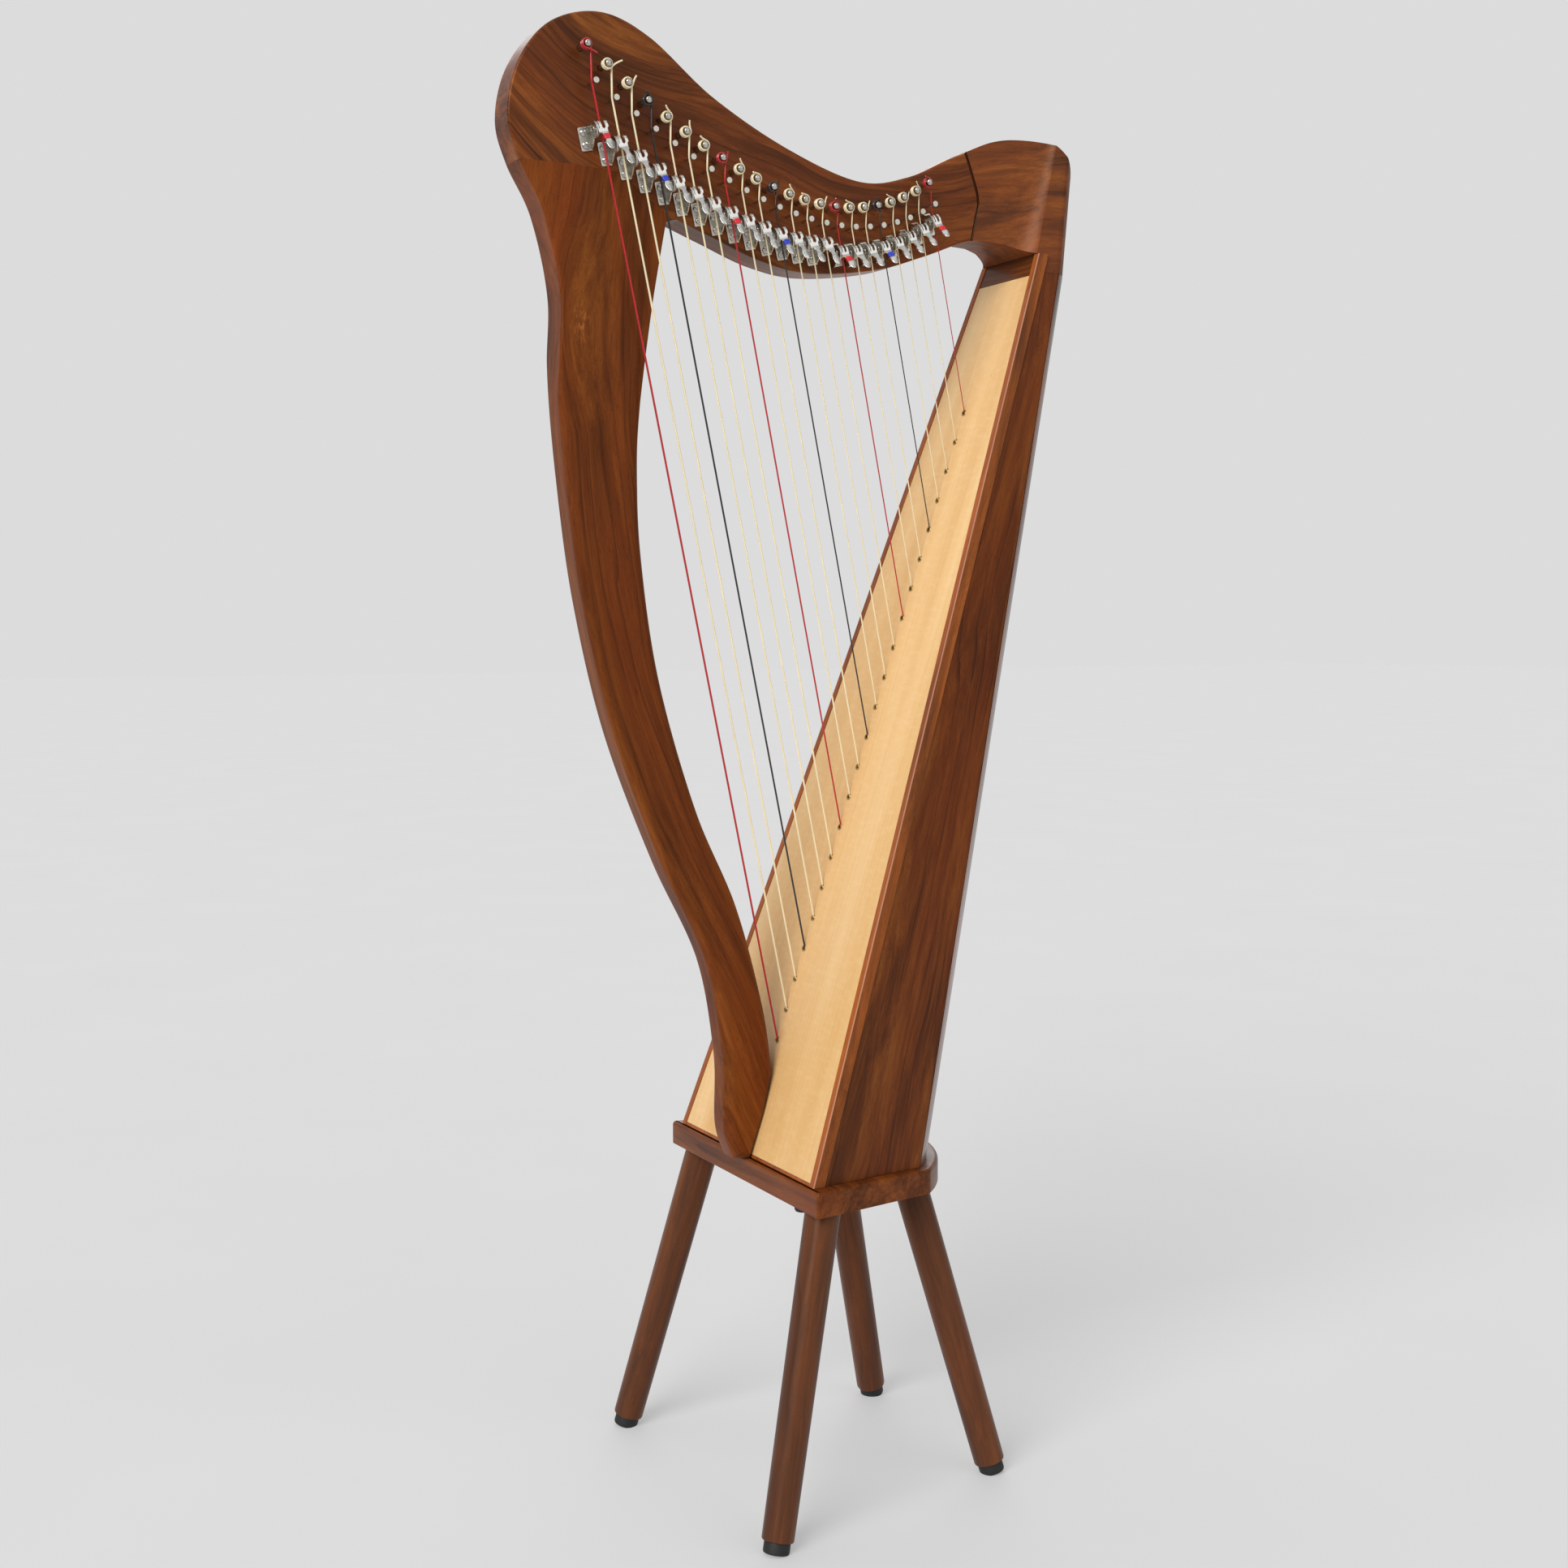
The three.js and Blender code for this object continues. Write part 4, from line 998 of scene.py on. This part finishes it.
# ------------------------------------------------------------------ strings, eyelets, rib
EYELET = [(1.5, -3.6), (2.1, -3.6), (2.1, -0.1), (3.0, 0.0), (3.15, 0.3), (2.8, 0.65), (2.2, 0.75),
          (1.7, 0.5), (1.5, 0.0)]
eyelets, knots = Shape(), Shape()
for s in strings:
    seat = place(s.hole + board_out * (belly(s.hole[2]) - BOARD_SUNK), (0, 1, 0), board_out)
    eyelets.add(ring_solid(EYELET, 24), seat)
    knot_at = s.hole - board_out * (BOARD_THICK + GAP + RIB_THICK + 1.6)
    knot = [(1.9 + r, h) for r, h in (polar(1.5, t) for t in round_turns(8))]
    knots.add(ring_solid(knot, 14), place(knot_at, (0, 1, 0), board_out))
    wrap = s.bend + (0.2, 0, 0)
    top_end = np.array([s.tuning[0] + COIL_RADIUS, s.bend[1], s.tuning[1]])
    into = s.hole - board_out * (BOARD_THICK + 8)
    up_dir, down_dir = unit(np.array([top_end - wrap, s.hole - wrap]))
    path = [top_end, wrap + up_dir * 3]
    path += [bezier([wrap + up_dir * 1.6, wrap, wrap + down_dir * 1.6], t) for t in np.linspace(0, 1, 5)]
    path += [wrap + down_dir * 3, s.hole - down_dir * 1.5, s.hole, s.hole - board_out * 2, into]
    Shape().add(sweep(path, s.radius, 10)).piece(s.label("string"), STRING_LOOKS[s.tone], slot="nylon",
                                                 replaces=["string_set"])
eyelets.piece("string_eyelets", BRASS, slot="steel")
knots.piece("string_knots", STRING_LOOKS["cream"], slot="nylon", replaces=["string_set"])
ends = [[board_foot + board_up * along - board_out * (BOARD_THICK + GAP + deep) + (0, y, 0)
         for deep, y in ((0, -9), (0, 9), (RIB_THICK, 7), (RIB_THICK, -7))] for along in (80, 730)]
Shape().add(rounded_bar(*ends, 1.2)).piece("string_rib", RAIL_WOOD, slot="rosewood",
                                           replaces=["string_set"])

# ------------------------------------------------------------------ tuning pins and bridge pins
COIL_LOW, COIL_LONG = 11.6, 4.6
# cut ends of the first strings, as the photo shows them: direction in degrees, reach
TAILS = {1: (-42, 10.5), 2: (16, 12), 3: (42, 8.5), 4: (112, 7), 5: (107, 8.5), 6: (77, 9), 7: (128, 8)}
# (radius, height above the neck's near face)
TUNING_PIN = [(0, -38), (2.5, -38), (2.5, -1), (2.45, 11), (2.3, 11.5), (2.3, 16.2), (2.6, 16.4),
              (2.75, 16.7), (2.8, 17.3), (2.65, 18.1), (2.1, 18.65), (1.2, 18.93), (0, 19)]
BRIDGE_PIN = [(0, -4), (1.2, -4), (1.2, 11.4), (1.05, 12), (1.05, 14), (1.2, 14.6), (1.2, 16.4),
              (2.3, 16.5), (2.6, 16.7), (2.6, 17.3), (2.4, 17.6), (0, 17.7)]
# (height, half width, 0 round to 1 square)
KEY_END = ((-36.5, 2.5, 0), (-38, 1.9, 0.8), (-39, 1.75, 1), (-47.3, 1.6, 1), (-48, 1.2, 1))
bridge_pins, pin_holes = Shape(), Shape()
for s in strings:
    x, z = s.tuning
    seat = place((x, FACE, z), (1, 0, 0), (0, -1, 0))
    key = []
    for h, half, square in KEY_END:
        ring = []
        for t in round_turns(32):
            grow = 1 + square * (1 / max(map(abs, polar(1, t))) - 1)
            ring.append((*polar(half * grow, t), h))
        key.append(ring)
    pin = Shape().add(revolve(TUNING_PIN, 28), seat).add(loft(key), seat)
    pin.piece(s.label("pin"), STEEL, s.label("tuning_pin_body"), "steel", [s.label("tuning_pin")])
    angle, tail = TAILS.get(s.number, (95 + 50 * math.sin(2.1 * s.number), 7.0 + math.sin(3.7 * s.number)))
    mean, pitch = COIL_RADIUS - 0.15, 2.1 * s.radius
    turns = COIL_LONG / pitch
    stop = rad(angle - 50)
    wind = np.linspace(stop - 2 * math.pi * turns, stop, int(turns * 22))
    path = [(*polar(mean, t), COIL_LOW + s.radius / 2 + 4.4 * k / len(wind)) for k, t in enumerate(wind)]
    end, top_h = np.array(path[-1]), path[-1][2]
    lift_off = (*polar(mean + 1.8, stop + rad(42)), top_h + 0.3)
    tip = (*polar(tail, rad(angle)), top_h + 1.5)
    path += [bezier([end, lift_off, tip], t) for t in np.linspace(0.15, 1, 7)]
    Shape().add(sweep(path, min(s.radius, COIL_WIRE), 8, round_ends=False), seat).piece(
        s.label("coil"), STRING_LOOKS[s.tone], s.label("tuning_pin_body"), "nylon", [s.label("tuning_pin")])
    pin_holes.add(rod(2.75, (x, FACE - 5, z), (x, -FACE + 5, z), 20))
    bridge_pins.add(revolve(BRIDGE_PIN, 20), place((s.bridge[0], FACE, s.bridge[1]), (1, 0, 0), (0, -1, 0)))
cut(neck, (pin_holes.v, pin_holes.f))
bridge_pins.piece("bridge_pins", NICKEL_DULL, slot="nickel", replaces=["neck"])

# ------------------------------------------------------------------ lever brackets
dome = [(0, -8), (1.4, -8), (1.4, 0), (2.75, 0), (2.95, 0.35), (2.85, 0.9), (2.4, 1.45), (1.6, 1.8),
        (0, 1.95)]
slots = []
for a, b in ((1.7, 0.35), (0.35, 1.7)):      # the two arms of a cross recess
    v, f = prism([(-a, -b), (a, -b), (a, b), (-a, b)], 1.05, 4)
    slots.append((np.array(v)[:, [0, 2, 1]], f))
screw = finished(revolve(dome, 24), cutters=slots)


def bracket(wall, left, right, low, high):
    """A plate screwed to the neck and a wall that stands out from it, with a round ear for the lever."""
    turn = np.linspace(rad(72), rad(288), 26)
    ear = [(-PIVOT_OUT + y, z) for y, z in (polar(EAR, t) for t in turn)]
    wall_shape = [(0, high), (-4.5, high)] + ear + [(-4.5, max(low, -11.5)), (0, low)]
    sheet = slab_yz(wall_shape, wall, wall + SHEET, 0.3)
    outline = fillet([(left, low), (right, low), (right, high), (left, high)],
                     (1.6, 0.3, 0.3, 1.6) if wall > left + 1 else (0.3, 1.6, 1.6, 0.3))
    return sheet, slab(outline, -SHEET, 0, 0.3, 0.3, 2)


screws, rivets = Shape(), Shape()
for s in strings:
    wall, left, right, low, high = BRACKETS[s.bass]
    seat = s.local((s.pivot[0], FACE, s.pivot[2]))
    sheet, foot_plate = bracket(*BRACKETS[s.bass])
    Shape().add(sheet, seat).add(foot_plate, seat).piece(s.label("bracket"), NICKEL_DULL, slot="nickel",
                                                         replaces=["neck"])
    middle = (left + wall) / 2 if s.bass else (wall + SHEET + right) / 2
    for k, z in enumerate((low + 4.4, high - 4.6)):
        spin = rad(37 * s.number + 61 * k)
        aim = (math.cos(spin), 0, math.sin(spin))
        screws.add(screw, seat @ place((middle, -SHEET, z), aim, (0, -1, 0)))
    cheek = LEVER_SHAPES[s.bass][0] + CHEEK_THICK
    stem = [(0, wall - 0.95), (1.2, wall - 0.85), (2.1, wall - 0.45), (2.3, wall - 0.05), (1.6, wall),
            (1.6, cheek), (1.6, cheek + 0.12), (2.2, cheek + 0.15), (2.1, cheek + 0.4), (1.2, cheek + 0.7),
            (0, cheek + 0.8)]
    rivets.add(revolve(stem, 24), s.local() @ place((0, 0, 0), (0, 1, 0), (1, 0, 0)))
screws.piece("bracket_screws", STEEL, slot="steel", replaces=["neck"], angle=35)
rivets.piece("lever_rivets", STEEL, slot="steel", replaces=["neck"], angle=35)


# ------------------------------------------------------------------ levers
def lever_solid(cheek, tines, grip_angle, reach):
    """A forked shell over the string, folded to a cheek on the rivet, with a dished spoon as its grip."""
    outer_left, gap, outer_right = tines
    grip = rad(grip_angle)
    bend = np.array([-SHELL, -FOLD_DROP])
    down = np.array([-math.sin(grip), -math.cos(grip)])
    path = [polar(SHELL, t) for t in np.linspace(rad(115), rad(180), 16)]
    path += [(-SHELL, -0.6)]
    path += [tuple(bezier([(-SHELL, -1.2), bend, bend + down * 2], t)) for t in np.linspace(0, 1, 8)]
    path += [tuple(bend + down * d) for d in np.linspace(2.6, reach, 26)]
    path = resample(path, 0.55)
    tip_z = path[-1][1]
    run = np.concatenate([[0], np.cumsum(np.linalg.norm(np.diff(path, axis=0), axis=1))])
    slot_end = np.interp(1.2, -path[:, 1], run)
    normal = np.gradient(path, axis=0)
    normal = unit(np.stack([normal[:, 1], -normal[:, 0]], 1))
    verts, faces = [], []
    for (y, z), d, n in zip(path, run, normal):
        if d < slot_end:
            left_x, right_x = outer_left, outer_right
            round_off = 1.1 * (1 - math.sqrt(max(1 - (1 - min(d / 1.1, 1)) ** 2, 0)))
            open_by = gap if d < slot_end - gap else math.sqrt(max(gap**2 - (d - slot_end + gap) ** 2, 0))
        else:
            round_off, open_by = 0, 0
        if d >= slot_end or z < -0.6:
            spoon_tip = SPOON * math.sqrt(max(1 - max((tip_z + 4.6 - z) / 4.75, 0) ** 2, 0.02))
            half = min(spoon_tip, np.interp(-z, [4.5, 7.3, 9.2, -tip_z - 5.5, -tip_z],
                                            [outer_right, 1.9, 1.8, SPOON, SPOON]))
            left_x = np.interp(-z, [0.8, 1.8, 4.4, 5.0], [outer_left, cheek, cheek, -half])
            right_x = half
        shallow = 0.45 * smoothstep(10, 14, -z)
        for a, b in ((left_x + round_off, -open_by - round_off * (open_by > 0)),
                     (open_by + round_off * (open_by > 0), right_x - round_off)):
            for t in np.linspace(0, 1, 5):
                x = a + (b - a) * t
                dish = shallow * (1 - (x / max(half, 0.1)) ** 2) if d >= slot_end else 0
                verts.append((x, y + n[0] * dish, z + n[1] * dish))
    for r in range(len(path) - 1):
        for c in (0, 1, 2, 3, 5, 6, 7, 8):
            a = r * 10 + c
            faces.append((a, a + 1, a + 11, a + 10))
    return verts, faces


def welded(solid, distance=0.02):
    """The same surface with doubled points joined."""
    mesh = bpy.data.meshes.new("weld")
    mesh.from_pydata([tuple(map(float, p)) for p in solid[0]], [], solid[1])
    bm = bmesh.new()
    bm.from_mesh(mesh)
    bmesh.ops.remove_doubles(bm, verts=bm.verts, dist=distance)
    v, f = [tuple(p.co) for p in bm.verts], [tuple(p.index for p in face.verts) for face in bm.faces]
    bm.free()
    bpy.data.meshes.remove(mesh)
    return v, f


def cheek_solid(cheek):
    """The flat cheek: a disc round the rivet, drawn out to the fold."""
    corner = np.array([-CHEEK, -4.4])
    far, toward = np.linalg.norm(corner), math.atan2(corner[1], corner[0])
    lean_by = math.acos(CHEEK / far)
    turn = np.linspace(toward + lean_by, toward - lean_by + 2 * math.pi, 44)
    outline = [polar(CHEEK, t) for t in turn] + [tuple(corner)]
    return finished(slab_yz(outline, cheek, cheek + CHEEK_THICK, 0.2),
                    cutters=[rod(1.95, (cheek - 3, 0, 0), (cheek + 4, 0, 0))])


LEVERS = {bass: (finished(welded(lever_solid(*shape)), thickness=SHEET, edge=0.28), cheek_solid(shape[0]))
          for bass, shape in LEVER_SHAPES.items()}
for s in strings:
    blade, cheek = LEVERS[s.bass]
    Shape().add(blade, s.local()).add(cheek, s.local()).piece(
        s.label("lever_sheet"), NICKEL, s.label("lever_body"), "nickel", [s.label("lever")], angle=35)
    sleeve = "red" if s.number in RED_STRINGS else "blue" if s.number in DARK_STRINGS else None
    if sleeve:
        grip = rad(LEVER_SHAPES[s.bass][2])
        along = np.array([0, -math.sin(grip), -math.cos(grip)])
        out = np.array([0, -math.cos(grip), math.sin(grip)])
        middle = np.array([0, -SHELL, -FOLD_DROP]) + along * 5.6
        ends = [[middle + along * end * 2.4 + out * h * 1.35 + np.array([w * 2.75, 0, 0])
                 for h, w in ((-1, -1), (1, -1), (1, 1), (-1, 1))] for end in (-1, 1)]
        Shape().add(rounded_bar(*ends, 0.8), s.local()).piece(
            s.label("lever_sleeve"), SLEEVE_LOOKS[sleeve], s.label("lever_body"), "nylon")

# ------------------------------------------------------------------ camera, floor and light
camera_data = bpy.data.cameras.new("camera")
camera_data.lens, camera_data.sensor_width = 45.3, 36.0
camera_data.clip_start, camera_data.clip_end = 0.05, 60
camera = linked("camera", camera_data)
camera.location = (-0.8534, -1.5294, 0.7587)
camera.rotation_euler = (rad(90 - 4.53), 0, rad(-28.65))
bpy.context.scene.camera = camera

world = bpy.data.worlds.new("studio")
bpy.context.scene.world = world
world.use_nodes = True
sky = world.node_tree.nodes["Background"]
sky.inputs["Color"].default_value = (0.716, 0.716, 0.716, 1)
nodes, links = world.node_tree.nodes, world.node_tree.links
seen = nodes.new("ShaderNodeLightPath")
split = nodes.new("ShaderNodeSeparateXYZ")
links.new(nodes.new("ShaderNodeTexCoord").outputs["Generated"], split.inputs[0])
dim = nodes.new("ShaderNodeMapRange")     # darker behind the camera, as in a studio
for key, value in (("From Min", -0.3), ("From Max", 0.6), ("To Min", 0.2), ("To Max", 0.85)):
    dim.inputs[key].default_value = value
links.new(split.outputs["Y"], dim.inputs["Value"])
either = nodes.new("ShaderNodeMath")
either.operation = "MAXIMUM"
links.new(seen.outputs["Is Camera Ray"], either.inputs[0])
links.new(dim.outputs[0], either.inputs[1])
links.new(either.outputs[0], sky.inputs["Strength"])
bpy.context.scene.view_settings.view_transform = "Standard"


def sun(name, direction, angle, strength):
    """A broad, even light from far away; direction points towards it."""
    data = bpy.data.lights.new(name, "SUN")
    data.angle, data.energy = rad(angle), strength
    lamp = linked(name, data)
    lamp.location = Vector(direction) * 3
    lamp.rotation_mode = "QUATERNION"
    lamp.rotation_quaternion = (-Vector(direction)).to_track_quat("-Z", "Y")


sun("key", (-1.0, -0.62, 0.72), 38, 2.7)
sun("fill", (0.35, -1.0, 0.55), 62, 0.7)
sun("back", (0.5, 1.0, 0.7), 40, 0.7)
sun("top", (-0.1, 0.0, 1.0), 60, 0.4)

FLOOR_HALF = 30      # metres
floor_look = Graph("floor_pale")
shades = [(at, (grey, grey, grey, 1)) for at, grey in ((0.3, 0.392), (0.7, 0.402))]
speckle = floor_look.noise(floor_look.here, 3.0, 4)
floor_look.set(Base_Color=floor_look.ramp(speckle, *shades), Roughness=0.85, Specular_IOR_Level=0.0,
               Emission_Color=(1, 1, 1, 1), Emission_Strength=0.275)
floor_mesh = bpy.data.meshes.new("floor")
corners = [(x * FLOOR_HALF, y * FLOOR_HALF, 0) for x, y in ((-1, -1), (1, -1), (1, 1), (-1, 1))]
floor_mesh.from_pydata(corners, [], [(0, 1, 2, 3)])
floor_mesh.materials.append(floor_look.material)
linked("floor", floor_mesh)

bpy.context.view_layer.update()
